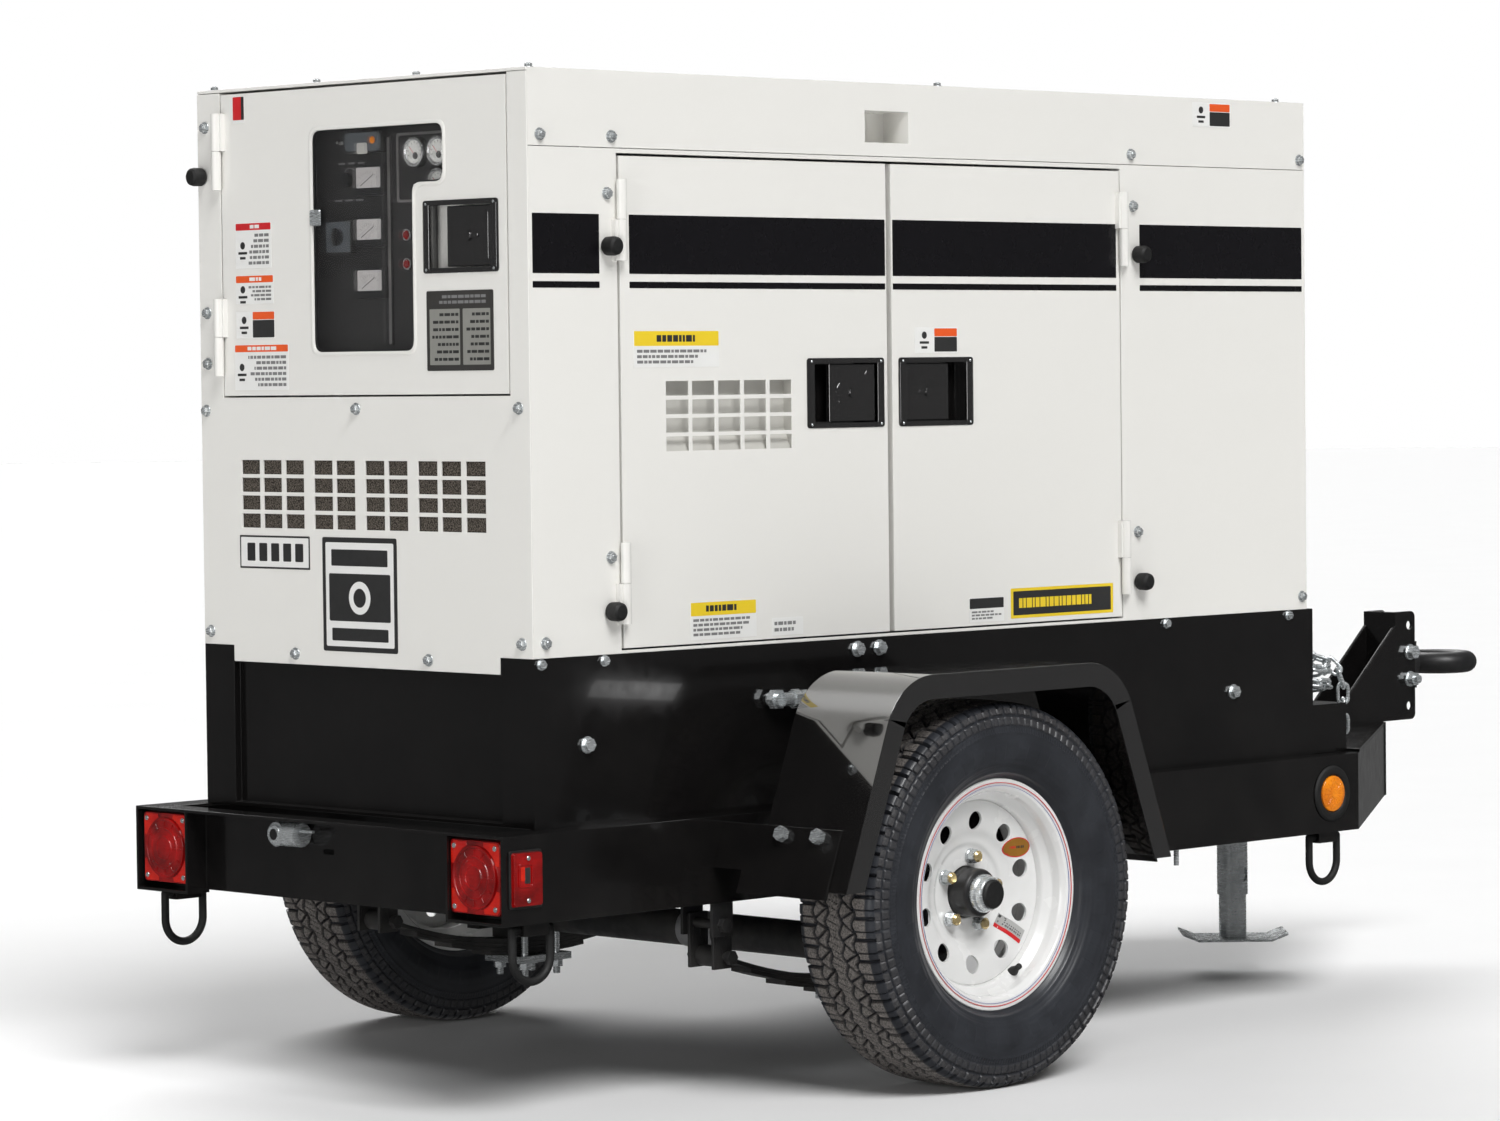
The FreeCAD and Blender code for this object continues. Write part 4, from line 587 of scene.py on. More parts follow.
def tyre_piece(side):
    """Tyre with a blocky tread, lugged shoulders and ribbed sidewalls."""
    half = smooth_line(TYRE_PROFILE, 150)
    half = np.array([point for index, point in enumerate(half) if point[0] > 262 or index % 2 == 0])
    line = np.concatenate([half, half[-2::-1] * [1, -1]])
    slope = np.gradient(line, axis=0)
    normal = np.stack([-slope[:, 1], slope[:, 0]], axis=1)
    normal /= np.linalg.norm(normal, axis=1)[:, None]
    if normal[len(line) // 2, 0] < 0:
        normal = -normal
    steps = PITCHES * 18
    angle = np.arange(steps) / steps * math.tau
    radius, across = line[:, 0][None, :], line[:, 1][None, :]
    around = (angle / math.tau * PITCHES)[:, None]
    height = np.zeros((steps, len(line)))
    tread = (np.abs(across) < TREAD_HALF + 2) & (radius > 292)
    pattern = tread_depth(np.broadcast_to(across, height.shape), np.broadcast_to(around, height.shape))
    height += np.where(tread, pattern * 7.2 - 2.7, 0)
    blocks = shoulder_height(np.broadcast_to(radius, height.shape), np.broadcast_to(around, height.shape))
    height += np.where(tread, 0, blocks)
    worn = np.where(tread & (np.abs(across) < WORN_EDGE), np.clip(pattern * 2 - 1, 0, 1), 0)
    worn = np.where(~tread, np.clip(blocks / 3.6, 0, 1) * 0.22, worn)
    ribs = np.clip(np.sin(around * math.tau * 5) * 2, 0, 1) * ((radius > 258) & (radius < 265))
    height += ribs * 0.9
    for low, high, lift in ((192, 196, 1.6), (206, 208, 1.0), (254, 257, 1.6), (243, 244.5, 0.6)):
        height += np.clip(np.minimum(radius - low, high - radius) + 0.6, 0, 1) * lift
    raised = (np.sin(around * math.tau / 2) > 0.1) & (radius > 214) & (radius < 238)
    height += raised * 0.55
    out_radius = radius + normal[:, 0][None, :] * height
    out_across = across + normal[:, 1][None, :] * height
    x = AXLE[0] + out_radius * np.cos(angle)[:, None]
    z = AXLE[1] + out_radius * np.sin(angle)[:, None]
    y = side * WHEEL_PLANE + out_across
    coords = np.stack([x, y, z], axis=2)
    inside = np.stack([
        np.stack([AXLE[0] + r * np.cos(angle), np.full(steps, side * WHEEL_PLANE + w),
                  AXLE[1] + r * np.sin(angle)], 1)
        for r, w in ((168, -44), (262, -60), (262, 60), (168, 44))], axis=1)
    coords = np.concatenate([coords, inside], axis=1)
    width = coords.shape[1]
    name = "tyre_detail_" + mirrored_side(side)
    data = bpy.data.meshes.new(name)
    data.vertices.add(steps * width)
    data.vertices.foreach_set("co", (coords * MM).astype(np.float32).ravel())
    wear = np.concatenate([worn, np.zeros((steps, 4))], axis=1)
    data.attributes.new("worn", "FLOAT", "POINT").data.foreach_set("value", wear.astype(np.float32).ravel())
    row = np.arange(steps)[:, None] * width
    next_row = (np.arange(steps)[:, None] + 1) % steps * width
    column = np.arange(width)[None, :]
    next_column = (column + 1) % width
    quads = np.stack([row + column, row + next_column, next_row + next_column, next_row + column], axis=2)
    quads = quads.reshape(-1, 4)
    data.loops.add(len(quads) * 4)
    data.loops.foreach_set("vertex_index", quads.ravel())
    data.polygons.add(len(quads))
    data.polygons.foreach_set("loop_start", np.arange(0, len(quads) * 4, 4))
    data.update(calc_edges=True)
    mesh = bmesh.new()
    mesh.from_mesh(data)
    bmesh.ops.recalc_face_normals(mesh, faces=mesh.faces)
    mesh.to_mesh(data)
    mesh.free()
    obj = link_piece(name, data, "tyre", "wheel_" + mirrored_side(side), 45)
    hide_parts("tyre_" + mirrored_side(side))


BARREL = [
    (182.5, 63), (183.5, 60), (180, 58.4), (172, 58), (166, 52), (164.8, 46), (164.8, 34), (152, 24),
    (150, 18), (150, -20), (164.8, -32), (164.8, -50), (170, -58), (180, -58.4), (183.5, -60), (182.5, -63),
    (178, -63), (167, -61), (161.5, -52), (161.5, -34.5), (146.5, -22.5),
    (146.5, 18), (148.5, 26), (161.5, 36), (161.5, 51), (167.5, 61), (178, 63),
]
DISC = [
    (41, -3), (72, -3), (78, 1.5), (90, 4), (100, 10.5), (114, 14.5), (128, 15.8), (140, 16.8), (145, 17),
    (146.7, 15.5), (146.7, 7.5), (140, 10.8), (126, 11), (114, 10.4), (100, 6.3), (89, -0.5), (78, -3.4),
    (71, -8),
    (41, -8),
]


def disc_level(radius):
    """How far out the disc's face is at a radius."""
    face = DISC[:9]
    return float(np.interp(radius, [r for r, _ in face], [out for _, out in face]))


def add_spindle(mesh, base, along, profile, segments=20):
    """Turned shape on any axis: profile is (radius, distance along)."""
    along = Vector(along).normalized()
    first = along.orthogonal().normalized()
    second = along.cross(first)
    rings = []
    for radius, distance in profile:
        middle = Vector(base) + along * distance
        rings.append([tuple(middle + radius * (math.cos(math.tau * k / segments) * first
                                               + math.sin(math.tau * k / segments) * second))
                      for k in range(segments)])
    add_loops(mesh, rings)


def rim_piece(side):
    """White disc wheel with round vents; the pinstripes and the valve are pieces of their own."""
    label = mirrored_side(side)
    body = "wheel_" + label
    centre = (AXLE[0], side * WHEEL_PLANE, AXLE[1])
    mesh = bmesh.new()
    add_lathe(mesh, rounded(BARREL, 2.5, 3), centre, "y", 96, side)
    barrel = piece("rim_barrel_" + label, mesh, "wheel", body, 0, 2, 40)
    mesh = bmesh.new()
    add_lathe(mesh, rounded(DISC, 7, 3), centre, "y", 120, side)
    disc = piece("rim_disc_" + label, mesh, "wheel", body, 0, 2, 40)
    mesh = bmesh.new()
    for count, ring, radius, first in ((10, 114, 14.5, 15.5), (5, 57.15, 8, 8)):
        for number in range(count):
            angle = math.radians(first + 360 / count * number)
            spot = (AXLE[0] + ring * math.cos(angle), centre[1], AXLE[1] + ring * math.sin(angle))
            add_disc(mesh, spot, "y", radius, -40, 40, 32)
    bmesh.ops.recalc_face_normals(mesh, faces=mesh.faces)
    bmesh.ops.scale(mesh, vec=(MM, MM, MM), verts=mesh.verts)
    data = bpy.data.meshes.new("cutters")
    mesh.to_mesh(data)
    mesh.free()
    cutter = bpy.data.objects.new("cutters", data)
    bpy.context.scene.collection.objects.link(cutter)
    drill = disc.modifiers.new("vents", "BOOLEAN")
    drill.object = cutter
    drill.solver = "EXACT"
    bake_modifiers(disc)
    bpy.data.objects.remove(cutter)
    soften(disc, 0.0012, 2, 42)
    for obj in (barrel, disc):
        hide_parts("rim_" + label)
    extras = Gather("wheel_trim")
    for look, low, width in (("sticker_red", 175.4, 1.1), ("sticker_blue", 171.4, 0.45)):
        stripe = [(low, 61.6 + (low - 167.5) * 0.19 + lift) for lift in (0, 0.65)]
        stripe += [(low + width, level + width * 0.19) for _, level in reversed(stripe)]
        add_lathe(extras.mesh(look, body), stripe, centre, "y", 96, side)
    valve_angle = math.radians(-60)
    inward = Vector((-math.cos(valve_angle), 0, -math.sin(valve_angle)))
    spot = Vector((AXLE[0], centre[1] + side * 26, AXLE[1])) - 152 * inward
    stem = [(4, -6), (8, -3), (8, 4), (6.5, 9), (4.6, 14), (4.4, 17), (4.8, 17.6), (4.8, 24.5), (3.6, 25.6)]
    add_spindle(extras.mesh("rubber", body), spot, Vector((0, side * 0.85, 0)) + 0.53 * inward, stem)
    extras.finish()
    wheel_stickers(side, centre, body)
    hub_piece(side, centre, body)


def bake_modifiers(obj):
    """Replaces a piece's mesh by the result of its modifiers."""
    bpy.context.view_layer.update()
    shaped = obj.evaluated_get(bpy.context.evaluated_depsgraph_get())
    data = bpy.data.meshes.new_from_object(shaped)
    obj.modifiers.clear()
    old = obj.data
    obj.data = data
    bpy.data.meshes.remove(old)
    smooth(obj, 40)


def wheel_stickers(side, centre, body):
    """An oval sticker and a striped one on the disc, without lettering."""
    label = mirrored_side(side)
    stickers = Gather("wheel_sticker_" + label)

    def spot(across, up, out):
        return (centre[0] + across, centre[1] + side * out, centre[2] + up)

    def patch(look, points, lift):
        """A thin sticker that follows the disc: rings of points from its outline in to its middle."""
        outline = []
        for here, after in zip(points, points[1:] + points[:1]):
            count = max(1, round(math.dist(here, after) / 4))
            outline += [tuple(Vector(here).lerp(Vector(after), k / count)) for k in range(count)]
        middle = sum((Vector(point) for point in outline), Vector((0, 0))) / len(outline)
        rings = []
        for shrink, rise in ((1, -0.4), (1, lift), (0.86, lift), (0.7, lift), (0.53, lift), (0.36, lift),
                             (0.18, lift),
                             (0.03, lift)):
            ring = [tuple(middle.lerp(Vector(point), shrink)) for point in outline]
            rings.append([spot(*point, disc_level(math.hypot(*point)) + rise) for point in ring])
        add_loops(stickers.mesh(look, body), rings)

    def oval(half_wide, half_high):
        return [(101 + half_wide * math.cos(math.tau * k / 32), 64 + half_high * math.sin(math.tau * k / 32))
                for k in range(32)]

    patch("sticker_red", oval(28, 16), 0.35)
    patch("sticker_olive", oval(26.3, 14.4), 0.5)
    for number in range(9):
        across = 86 + number * 3.4
        bar = rectangle(across, 62.5, across + (2.2 if number % 3 else 1.4), 66.5)
        patch("ink" if number > 3 else "sticker_red", bar, 0.65)
    lean = Matrix.Rotation(math.radians(-34.7), 2)

    def strip(look, low, high, lift):
        patch(look, [tuple(lean @ Vector(p) + Vector((86.5, -64.4))) for p in rectangle(*low, *high)], lift)

    strip("sticker_silver", (-27.5, -5.5), (27.5, 12), 0.45)
    strip("sticker_red", (-27.5, -12), (27.5, -5.5), 0.45)
    strip("ink", (-26, 6), (-12, 10.5), 0.6)
    for number in range(11):
        strip("ink_grey", (-24 + number * 4.4, -2.5), (-21.6 + number * 4.4 + number % 2, 0.5), 0.6)
        strip("ink_grey", (-22 + number * 4.2, 2.2), (-19.8 + number * 4.2, 4.2), 0.6)
    stickers.finish()


def hub_piece(side, centre, body):
    """Hub barrel with a shouldered zinc nose, a flange, and zinc nuts on gold studs."""
    label = mirrored_side(side)
    mesh = bmesh.new()
    barrel = [(19.1, -58), (36, -58), (38, -54), (38, -18), (72, -18), (72, -8.5), (40, -8.5), (40, 4),
              (38.5, 8),
              (38.5, 27), (36, 31), (19.1, 31)]
    add_lathe(mesh, rounded(barrel, 2, 3), centre, "y", 64, side)
    shell = piece("hub_barrel_" + label, mesh, "hub", body, 0, 2, 35)
    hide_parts("hub_" + label)
    mesh = bmesh.new()
    nose = [(20, 31.2), (29.5, 31.2), (30.5, 33), (30.5, 40), (27, 43), (27, 50), (25, 53), (23.5, 53.5),
            (20, 53.5)]
    add_lathe(mesh, rounded(nose, 1.2, 3), centre, "y", 64, side)
    add_hexagon(mesh, centre, "y", 60, 33.5, 40.5, 0.2, side)
    piece("hub_nose_" + label, mesh, "zinc", body, 0, 2, 35)
    mesh = bmesh.new()
    add_disc(mesh, centre, "y", 23, 44, 60, 40, 2.5, side)
    piece("hub_cap_" + label, mesh, "rubber", body, 0, 2, 35)
    nuts, studs = bmesh.new(), bmesh.new()
    for number in range(5):
        angle = math.radians(8 + 72 * number)
        spot = (AXLE[0] + 57.15 * math.cos(angle), centre[1], AXLE[1] + 57.15 * math.sin(angle))
        add_disc(nuts, spot, "y", 12, -3, 2.5, 24, 1.5, side)
        add_hexagon(nuts, spot, "y", 22, 1.5, 13, angle, side)
        add_disc(studs, spot, "y", 9.2, 12.6, 18.5, 24, 3.2, side)
        add_disc(studs, spot, "y", 6.2, -26, 14, 20, 1, side)
    piece("wheel_nuts_" + label, nuts, "zinc", body, 0.4)
    piece("wheel_studs_" + label, studs, "gold", body, 0)


# ------------------------------------------------------------------ enclosure

SIDE_FACE = 396
REAR_FACE = 1356
DOOR_BODIES = {("right", "rear"): "door_rr", ("right", "front"): "door_rf", ("left", "rear"): "door_lr",
               ("left", "front"): "door_lf"}
SIDE_BOLTS = ((-1330, 1493), (-1182, 1493), (30, 1493), (483, 1493), (-1192, 1406), (35, 1405), (-1192, 848),
              (41, 850), (483, 722), (-1330, 722))
REAR_BOLTS = ((376, 1534), (376, 1235), (376, 1153), (382, 1077), (8, 1079), (-372, 1079), (378, 720),
              (-373, 721),
              (165, 690), (-157, 690))
STRIPES = ((-1347, -1209, "chassis"), (-1146, -577, "rear"), (-559, -9, "front"), (52, 489, "chassis"))
STRIPE_BANDS = ((1283, 1374), (1261, 1271))


def sticker(gather, look, body, face, low, high, level, thickness=0.35, corner=1.5):
    """A thin rounded rectangle on a face, from corner low to corner high."""
    outline = rounded(rectangle(low[0], low[1], high[0], high[1]), corner, 3)
    add_slab(gather.mesh(look, body), face, outline, level - 0.05, level + thickness)


def enclosure_bolts():
    gather = Gather("panel_bolts", 0.3)
    mesh = gather.mesh("zinc", "chassis")
    for face in ("right", "left"):
        for x, z in SIDE_BOLTS:
            add_bolt(mesh, face, x, z, SIDE_FACE, 15, 6)
    for y, z in REAR_BOLTS:
        add_bolt(mesh, "rear", y, z, REAR_FACE, 15, 6)
    for y in (-372, 0, 372):
        for z in (722, 1200, 1560):
            add_bolt(mesh, "front", y, z, 498, 15, 6)
    for x, y in ((-1334, -378), (-1334, -120), (-1334, 120), (-1334, 378), (-430, -378), (-430, 378),
                 (441, -378),
                 (441, 378), (441, 0)):
        add_bolt(mesh, "top", x, y, 1594, 12, 5, 1.5)
    gather.finish()


def stripes():
    gather = Gather("stripe")
    for face in ("right", "left"):
        for low, high, owner in STRIPES:
            body = owner if owner == "chassis" else DOOR_BODIES[(face, owner)]
            for bottom, top in STRIPE_BANDS:
                sticker(gather, "sticker_black", body, face, (low, bottom), (high, top), SIDE_FACE, 0.3, 1)
    gather.finish()


def text_bars(gather, look, body, face, low, high, level, rows, seed, gap=0.45):
    """Rows of short bars that stand in for small print without being letters."""
    picker = random.Random(seed)
    pitch = (high[1] - low[1]) / rows
    for row in range(rows):
        top = high[1] - row * pitch - pitch * gap / 2
        bottom = top - pitch * (1 - gap)
        across = low[0]
        end = low[0] + (high[0] - low[0]) * picker.uniform(0.72, 1.0)
        while across < end - 3:
            width = min(picker.uniform(5, 14), end - across)
            sticker(gather, look, body, face, (across, bottom), (across + width, top), level, 0.12, 0.3)
            across += width + 2.2


def door_labels():
    gather = Gather("label")
    top = SIDE_FACE + 0.35
    for face in ("right", "left"):
        rear, front = DOOR_BODIES[(face, "rear")], DOOR_BODIES[(face, "front")]
        sticker(gather, "sticker_white", rear, face, (-1139, 1139), (-955, 1196), SIDE_FACE)
        sticker(gather, "sticker_yellow", rear, face, (-1138, 1172), (-956, 1195), top, 0.15)
        text_bars(gather, "ink", rear, face, (-1090, 1177), (-985, 1190), top + 0.15, 1, 3, 0.2)
        text_bars(gather, "ink_pale", rear, face, (-1132, 1143), (-965, 1168), top, 3, 5)
        sticker(gather, "sticker_white", rear, face, (-1024, 713), (-879, 772), SIDE_FACE)
        sticker(gather, "sticker_yellow", rear, face, (-1023, 750), (-880, 771), top, 0.15)
        text_bars(gather, "ink", rear, face, (-990, 755), (-905, 767), top + 0.15, 1, 4, 0.2)
        text_bars(gather, "ink_pale", rear, face, (-1018, 717), (-886, 747), top, 4, 6)
        sticker(gather, "sticker_white", rear, face, (-844, 712), (-774, 740), SIDE_FACE)
        text_bars(gather, "ink_pale", rear, face, (-839, 716), (-780, 736), top, 2, 7)
        sticker(gather, "sticker_white", front, face, (-384, 713), (-299, 753), SIDE_FACE)
        sticker(gather, "ink", front, face, (-383, 735), (-300, 752), top, 0.15)
        text_bars(gather, "ink_pale", front, face, (-378, 716), (-306, 732), top, 3, 8)
        sticker(gather, "sticker_yellow", front, face, (-282, 715), (-24, 765), SIDE_FACE)
        sticker(gather, "ink", front, face, (-276, 720), (-30, 760), top, 0.15)
        text_bars(gather, "sticker_yellow", front, face, (-262, 731), (-44, 749), top + 0.15, 1, 9, 0.1)
        sticker(gather, "sticker_white", front, face, (-509, 1158), (-406, 1200), SIDE_FACE)
        sticker(gather, "ink", front, face, (-462, 1160), (-408, 1184), top, 0.15)
        sticker(gather, "sticker_orange", front, face, (-462, 1185), (-408, 1198), top, 0.15)
        pictogram(gather, front, face, -486, 1179, top)
        sticker(gather, "sticker_white", "chassis", face, (194, 1545), (296, 1587), SIDE_FACE)
        sticker(gather, "ink", "chassis", face, (240, 1547), (294, 1571), top, 0.15)
        sticker(gather, "sticker_orange", "chassis", face, (240, 1572), (294, 1585), top, 0.15)
        pictogram(gather, "chassis", face, 217, 1566, top)
    gather.finish()


def pictogram(gather, body, face, across, up, level):
    """A plain generic sign: a disc over two bars."""
    disc = [(across + 6 * math.cos(math.tau * k / 16),
             up + 8 + 6 * math.sin(math.tau * k / 16)) for k in range(16)]
    add_slab(gather.mesh("ink", body), face, disc, level - 0.02, level + 0.15)
    sticker(gather, "ink", body, face, (across - 11, up - 6), (across + 11, up - 2), level, 0.15, 0.5)
    sticker(gather, "ink", body, face, (across - 7, up - 14), (across + 7, up - 10), level, 0.15, 0.5)


def rear_labels():
    gather = Gather("rear_label")
    face, body, level = "rear", "door_control", REAR_FACE
    top = level + 0.35
    sticker(gather, "sticker_white", body, face, (275, 1538), (305, 1581), level)
    sticker(gather, "sticker_red", body, face, (276, 1543), (304, 1580), top, 0.15)
    sticker(gather, "ink", body, face, (276, 1543), (283, 1580), top + 0.15, 0.1)
    for low, high, header, rows, seed in (
        ((212, 1305), (302, 1378), "sticker_red", 6, 21), ((208, 1248), (303, 1294), "sticker_orange", 4, 22),
        ((173, 1110), (308, 1183), "sticker_orange", 6, 23),
    ):
        sticker(gather, "sticker_white", body, face, low, high, level)
        sticker(gather, header, body, face, (low[0] + 1, high[1] - 12), (high[0] - 1, high[1] - 1), top, 0.15)
        text_bars(gather, "sticker_white", body, face, (low[0] + 30, high[1] - 10),
                  (high[0] - 30, high[1] - 3),
                  top + 0.15, 1, seed, 0.2)
        text_bars(gather, "ink_pale", body, face, (low[0] + 6, low[1] + 4), (high[0] - 32, high[1] - 16),
                  top, rows, seed)
        pictogram(gather, body, face, high[0] - 18, (low[1] + high[1]) / 2 - 8, top)
    sticker(gather, "sticker_white", body, face, (206, 1193), (303, 1236), level)
    sticker(gather, "ink", body, face, (207, 1194), (261, 1222), top, 0.15)
    sticker(gather, "sticker_orange", body, face, (207, 1223), (261, 1235), top, 0.15)
    pictogram(gather, body, face, 283, 1214, top)
    sticker(gather, "nameplate", body, face, (-317, 1137), (-163, 1260), level, 0.8, 3)
    for low, high, rows, seed in (((-310, 1146), (-247, 1232), 7, 31), ((-240, 1146), (-170, 1232), 7, 32)):
        sticker(gather, "plate_grey", body, face, low, high, level + 0.8, 0.15)
        text_bars(gather, "ink", body, face, (low[0] + 3, low[1] + 3), (high[0] - 3, high[1] - 3),
                  level + 0.95, rows, seed,
                  0.6)
    text_bars(gather, "ink_pale", body, face, (-300, 1238), (-180, 1255), level + 0.8, 2, 33)
    body = "chassis"
    sticker(gather, "ink", body, face, (127, 824), (302, 877), level)
    sticker(gather, "sticker_white", body, face, (130, 827), (299, 874), top, 0.15)
    for number in range(5):
        low = 143 + number * 30
        sticker(gather, "ink", body, face, (low, 836), (low + 20, 865), top + 0.15, 0.1, 2)
    sticker(gather, "ink", body, face, (-84, 697), (96, 877), level, 0.35, 4)
    sticker(gather, "sticker_white", body, face, (-76, 705), (88, 869), top, 0.15, 3)
    sticker(gather, "ink", body, face, (-68, 745), (80, 820), top + 0.15, 0.1, 3)
    ring = [(6 + 26 * math.cos(math.tau * k / 32), 782 + 26 * math.sin(math.tau * k / 32)) for k in range(32)]
    add_slab(gather.mesh("sticker_white", body), face, ring, top + 0.2, top + 0.4)
    dot = [(6 + 15 * math.cos(math.tau * k / 32), 782 + 15 * math.sin(math.tau * k / 32)) for k in range(32)]
    add_slab(gather.mesh("ink", body), face, dot, top + 0.35, top + 0.55)
    for low, high in (((-62, 832), (74, 858)), ((-62, 714), (74, 734))):
        sticker(gather, "ink", body, face, low, high, top + 0.15, 0.1, 2)
    gather.finish()


def latch_parts(label, face, body, handle, span, pivot_low, replaced):
    """Pocket bezel, black lining, and a shaped paddle; span is (low, high) across, at mid-height up."""
    low, high, up, level = span
    way = 1 if pivot_low else -1
    mesh = bmesh.new()
    outline = rounded(rectangle(low - 1, up - 56, high + 1, up + 56), 6, 4)
    hole = rounded(rectangle(low + 7, up - 48, high - 7, up + 48), 4, 4)
    crest = rounded(rectangle(low + 3, up - 52, high - 3, up + 52), 5, 4)
    place = FACES[face]
    rings = [(outline, 0), (outline, 1.2), (crest, 3.2), (hole, 2.6), (hole, -3.5), (outline, 0)]
    add_loops(mesh, [[place(*point, level + lift) for point in ring] for ring, lift in rings[:-1]], ring=True)
    for start, turn, hinged in ((low + 1, 1, pivot_low), (high - 1, -1, not pivot_low)):
        floor = -0.6 if hinged else -7
        post = rounded([(0, floor), (14.5, floor), (14.5, 3.4), (0, 3.4)], 1.9 if hinged else 3.3, 6)
        section = [(start + turn * a, d) for a, d in post]
        add_loops(mesh, [[place(a, end, level + d) for a, d in section] for end in (up - 49, up + 49)])
    piece("latch_bezel_" + label, mesh, "moulded", body, 0.0, 2, 50)
    mesh = bmesh.new()
    wall = 1.2
    inner = (low + 2.4, up - 52.6, high - 2.4, up + 52.6)
    loops = [(0, -0.2), (0, -27.6), (wall, -27.6 + wall), (wall, -0.2)]
    rings = []
    for inset, depth in loops:
        rings.append([place(*point, level + depth) for point in rectangle(
            inner[0] + inset, inner[1] + inset, inner[2] - inset, inner[3] - inset)])
    outer_rim, outer_floor, inner_floor, inner_rim = [[mesh.verts.new(p) for p in ring] for ring in rings]
    for first, second in ((outer_rim, outer_floor), (inner_floor, inner_rim), (inner_rim, outer_rim)):
        for k in range(4):
            mesh.faces.new((first[k], first[(k + 1) % 4], second[(k + 1) % 4], second[k]))
    mesh.faces.new(outer_floor)
    mesh.faces.new(list(reversed(inner_floor)))
    piece("latch_lining_" + label, mesh, "moulded", body, 0.4)
    pin = low + 13 if pivot_low else high - 13
    mesh = bmesh.new()

    def along(distance):
        return pin + way * distance

    section = [(along(a), d) for a, d in rounded([(3.2, -13), (109, -13), (109, -2.2), (3.2, -2.2)], 4.6, 8)]
    rings = ((up - 46.5, 1.2), (up - 45.3, 0), (up + 45.3, 0), (up + 46.5, 1.2))
    add_loops(mesh, [[place(a, end, level + d - drop) for a, d in section] for end, drop in rings])
    bell = [(along(a), up + b) for a, b in (
        (12, -40), (22, -38), (30, -28), (58, -24), (86, -18), (95, -7), (95, 7), (86, 18), (58, 24),
        (30, 28),
        (22, 38), (12, 40))]
    add_slab(mesh, face, rounded(bell, 6, 4), level - 2.5, level - 1.5, 1.2)
    slot_outline = rounded([(along(a), up + b) for a, b in ((34, -3), (66, -4.5), (66, 4.5), (34, 3))], 3, 4)
    add_slab(mesh, face, slot_outline, level - 1.1, level + 0.6, 1.0)
    axis = "y" if face in ("right", "left") else "x"
    sign = -1 if face in ("right", "rear") else 1
    centre = (along(58), 0, up) if axis == "y" else (0, along(58), up)
    add_disc(mesh, centre, axis, 8, level - 1.2, level + 1.6, 28, 0.8, sign)
    obj = piece("latch_paddle_" + label, mesh, "moulded", handle, 0.5, 2, 35)
    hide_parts(replaced)
    mesh = bmesh.new()
    for a in (low + 8, high - 8):
        for b in (up - 50.5, up + 50.5):
            centre = (a, 0, b) if axis == "y" else (0, a, b)
            add_disc(mesh, centre, axis, 2.3, level + 2.2, level + 4.2, 16, 0.9, sign)
    piece("latch_rivets_" + label, mesh, "zinc", body)


def all_latches():
    for face, letter in (("right", "r"), ("left", "l")):
        for end, low, high, pivot_low in (("rear", -759, -583, False), ("front", -547, -371, True)):
            latch_parts(f"{face}_{end}", face, DOOR_BODIES[(face, end)], f"handle_{letter}{end[0]}",
                        (low, high, 1095, SIDE_FACE), pivot_low, f"latch_{face}_{end}")
    latch_parts("control", "rear", "door_control", "handle_control", (-330, -158, 1343, REAR_FACE), True,
                "latch_control")


def door_stops():
    """Rubber buffers on threaded studs, where the open doors rest."""
    gather = Gather("door_stop")
    rubber = [(0, 2), (13, 2), (14.5, 4), (15, 18), (13.5, 24), (10, 27), (0, 27.5)]
    spots = [(face, x, z, SIDE_FACE) for face in ("right", "left") for x,
             z in ((-1194, 1325), (-1194, 765), (43, 1323),
                                                                               (43, 765))]
    spots.append(("rear", 384, 1455, REAR_FACE))
    for face, across, up, level in spots:
        axis = "y" if face in ("right", "left") else "x"
        sign = -1 if face in ("right", "rear") else 1
        centre = (across, sign * level, up) if axis == "y" else (sign * level, across, up)
        profile = [(max(radius, 0.3), along) for radius, along in rubber]
        add_lathe(gather.mesh("rubber", "chassis"), profile, centre, axis, 32, sign)
        add_disc(gather.mesh("zinc", "chassis"), centre, axis, 10, -0.1, 2.1, 24, 0.3, sign)
    gather.finish()


def grille_backing():
    """Foam behind the rear inlet, and a pale duct behind each side door's grille, its white darkened as
    painted shade.
    """
    gather = Gather("baffle")
    mesh = gather.mesh("foam", "chassis")
    add_block(mesh, (-1351.5, -318, 880), (-1335, 318, 1006))
    for face in ("right", "left"):
        body = DOOR_BODIES[(face, "rear")]
        # The duct takes the darkened white: painted shade inside the grille.
        mesh = gather.mesh("white_inside", body)
        place = FACES[face]
        for low, high in (((-1078, 1004), (-1074, 1122)), ((-791, 1004), (-787, 1122)),
                          ((-1078, 1122), (-787, 1126)),
                          ((-1078, 1000), (-787, 1004))):
            add_slab(mesh, face, rectangle(low[0], low[1], high[0], high[1]), SIDE_FACE - 22, SIDE_FACE - 2.4)
        add_slab(mesh, face, rectangle(-1078, 1000, -787, 1126), SIDE_FACE - 24, SIDE_FACE - 22)
        corners = [(-1074, 1004), (-787, 1004), (-787, 1040), (-1074, 1040)]
        near = [place(a, b, SIDE_FACE - (4 if b < 1010 else 21)) for a, b in corners]
        back = [place(a, b, SIDE_FACE - (5.5 if b < 1010 else 22)) for a, b in corners]
        add_loops(mesh, [near, back])
    gather.finish()


WINDOW = [(112, 1166), (-135, 1166), (-135, 1426), (-207, 1426), (-207, 1521), (112, 1521)]


